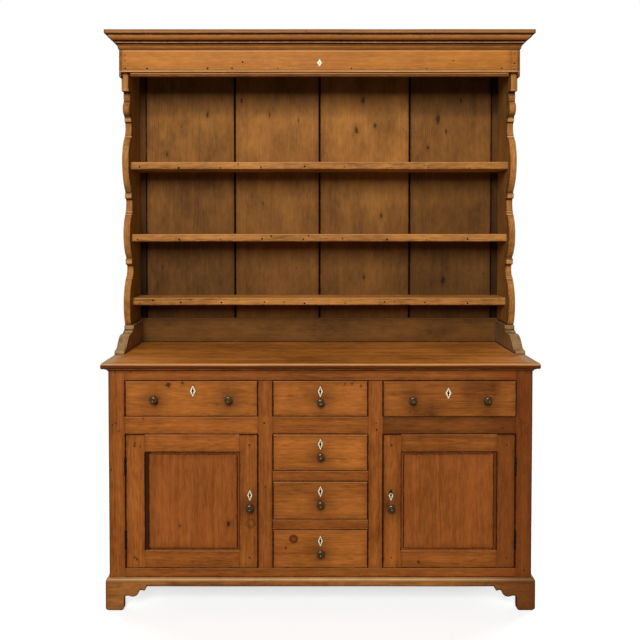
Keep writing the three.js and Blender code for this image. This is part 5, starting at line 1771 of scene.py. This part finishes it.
class DRESSER_OT_stage(bpy.types.Operator):
    """Set up the pale floor, the soft lamps, the world and the camera"""

    bl_idname = "dresser.stage"
    bl_label = "Stage"

    def execute(self, context):
        studio = context.scene.dresser_studio
        self.camera(context, studio)
        self.floor(context)
        self.world(context, studio)
        self.lamp(context, "key_lamp", studio.key_power, key_place, key_size)
        self.lamp(context, "fill_lamp", studio.fill_power, fill_place, fill_size)
        for name, side in SIDES.items():
            place = (side * rear_place[X], *rear_place[Y:])
            self.lamp(context, f"rear_lamp_{name}", studio.rear_power, place, rear_size)
        context.scene.view_settings.view_transform = "Standard"
        return {"FINISHED"}

    def camera(self, context, studio):
        """The camera in front, tilted down"""
        data = bpy.data.cameras.new("camera")
        data.sensor_width = 36.0
        data.lens = studio.lens
        data.shift_x, data.shift_y = studio.camera_shift
        made = bpy.data.objects.new("camera", data)
        made.location = (studio.camera_side, -studio.camera_distance, studio.camera_height)
        made.rotation_euler = (math.pi / 2 - studio.camera_tilt, 0, 0)
        context.scene.collection.objects.link(made)
        context.scene.camera = made

    def lamp(self, context, name, power, place, size):
        """An area lamp that faces the lit point"""
        data = bpy.data.lights.new(name, "AREA")
        data.shape = "RECTANGLE"
        data.size, data.size_y = size
        data.energy = power
        made = bpy.data.objects.new(name, data)
        made.location = place
        aim = np.array(lit_point) - np.array(place)
        turn = math.atan2(aim[1], aim[0]) - math.pi / 2
        made.rotation_euler = (math.atan2(math.hypot(aim[0], aim[1]), -aim[2]), 0, turn)
        context.scene.collection.objects.link(made)

    def floor(self, context):
        """A flat square grid, whose white fades in with the distance from the middle"""
        line = np.linspace(-floor_half, floor_half, 17)
        x, y = np.meshgrid(line, line)
        points = np.stack([x, y, np.zeros_like(x)], -1).reshape(-1, 3)
        index = np.arange(17 * 17).reshape(17, 17)
        quads = np.stack([index[:-1, :-1], index[:-1, 1:], index[1:, 1:], index[1:, :-1]], -1).reshape(-1, 4)
        mesh = bpy.data.meshes.new("floor")
        mesh.from_pydata(points, [], quads.tolist())
        mesh.materials.append(self.floor_finish())
        made = bpy.data.objects.new("floor", mesh)
        context.scene.collection.objects.link(made)
        made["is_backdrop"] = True

    def floor_finish(self):
        """A pale floor that keeps the shadow and turns white away from the dresser"""
        f = Finish("pale floor")
        place = f.place()
        away = f.length(place)
        speckle = f.noise(place, 3.0, 0.6, 6.0)
        seen = self.seen(f)
        pale = f.mix(0.5 + speckle * 0.3, (0.58, 0.575, 0.57), (0.62, 0.62, 0.615))
        inputs = {"Base Color": f.mix(seen, (0.12, 0.12, 0.12), pale), "Roughness": 1.0, "Specular IOR Level": 0.0}
        inputs.update({"Emission Color": f.mix(seen, (0, 0, 0), (0.64, 0.64, 0.64)), "Emission Strength": 1.0})
        lit = f.add("ShaderNodeBsdfPrincipled", inputs=inputs)
        white = f.add("ShaderNodeEmission", inputs={"Color": (1, 1, 1, 1), "Strength": 1.0})
        shader = f.add("ShaderNodeMixShader", inputs={0: f.ramp(away, 0.75, 2.4) * seen, 1: lit, 2: white})
        f.add("ShaderNodeOutputMaterial", inputs={"Surface": shader}, output=None)
        return f.material

    def seen(self, f):
        """1 for the camera's own rays and through glass, and a little for reflections"""
        kinds = ("Is Camera Ray", "Is Glossy Ray", "Is Transmission Ray")
        straight, glossy, through = (f.add("ShaderNodeLightPath", output=kind) for kind in kinds)
        return f.maths("MINIMUM", straight + glossy * 0.2 + through, 1.0)

    def world(self, context, studio):
        """A white world whose light on the dresser is weak"""
        world = bpy.data.worlds.new("studio")
        world.use_nodes = True
        f = Finish("studio", world)
        strength = self.seen(f) * (1 - studio.sky) + studio.sky
        light = f.add("ShaderNodeBackground", inputs={"Color": (1, 1, 1, 1), "Strength": strength})
        f.add("ShaderNodeOutputWorld", inputs={"Surface": light}, output=None)
        context.scene.world = world


class DRESSER_PT_panel(bpy.types.Panel):
    """Lists the dresser's pieces and settings in the sidebar"""

    bl_idname = "DRESSER_PT_panel"
    bl_label = "Pine Dresser"
    bl_space_type = "VIEW_3D"
    bl_region_type = "UI"
    bl_category = "Dresser"

    def draw(self, context):
        column = self.layout.column()
        for operator in OPERATORS:
            column.operator(operator.bl_idname)
        for group in (context.scene.dresser_sizes, context.scene.dresser_colours, context.scene.dresser_studio):
            box = self.layout.box()
            for key in group.__annotations__:
                box.prop(group, key)


GROUPS = {"dresser_sizes": DresserSizes, "dresser_colours": DresserColours, "dresser_studio": StudioSettings}
OPERATORS = (
    DRESSER_OT_carcass, DRESSER_OT_face_frame, DRESSER_OT_plinth, DRESSER_OT_worktop, DRESSER_OT_drawers,
    DRESSER_OT_doors, DRESSER_OT_knobs, DRESSER_OT_key_plates, DRESSER_OT_hinges, DRESSER_OT_rack, DRESSER_OT_frieze,
    DRESSER_OT_cornice, DRESSER_OT_stage,
)


def register():
    """Makes the groups, the operators and the panel known"""
    for known in (*GROUPS.values(), *OPERATORS, DRESSER_PT_panel):
        bpy.utils.register_class(known)
    for name, group in GROUPS.items():
        setattr(bpy.types.Scene, name, PointerProperty(type=group))


def unregister():
    """Takes them away again"""
    for name in GROUPS:
        delattr(bpy.types.Scene, name)
    for known in (DRESSER_PT_panel, *reversed(OPERATORS), *reversed(GROUPS.values())):
        bpy.utils.unregister_class(known)


def main():
    """Builds the dresser and its stage"""
    register()
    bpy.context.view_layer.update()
    for operator in OPERATORS:
        category, name = operator.bl_idname.split(".")
        getattr(getattr(bpy.ops, category), name)()


if __name__ == "__main__":
    main()
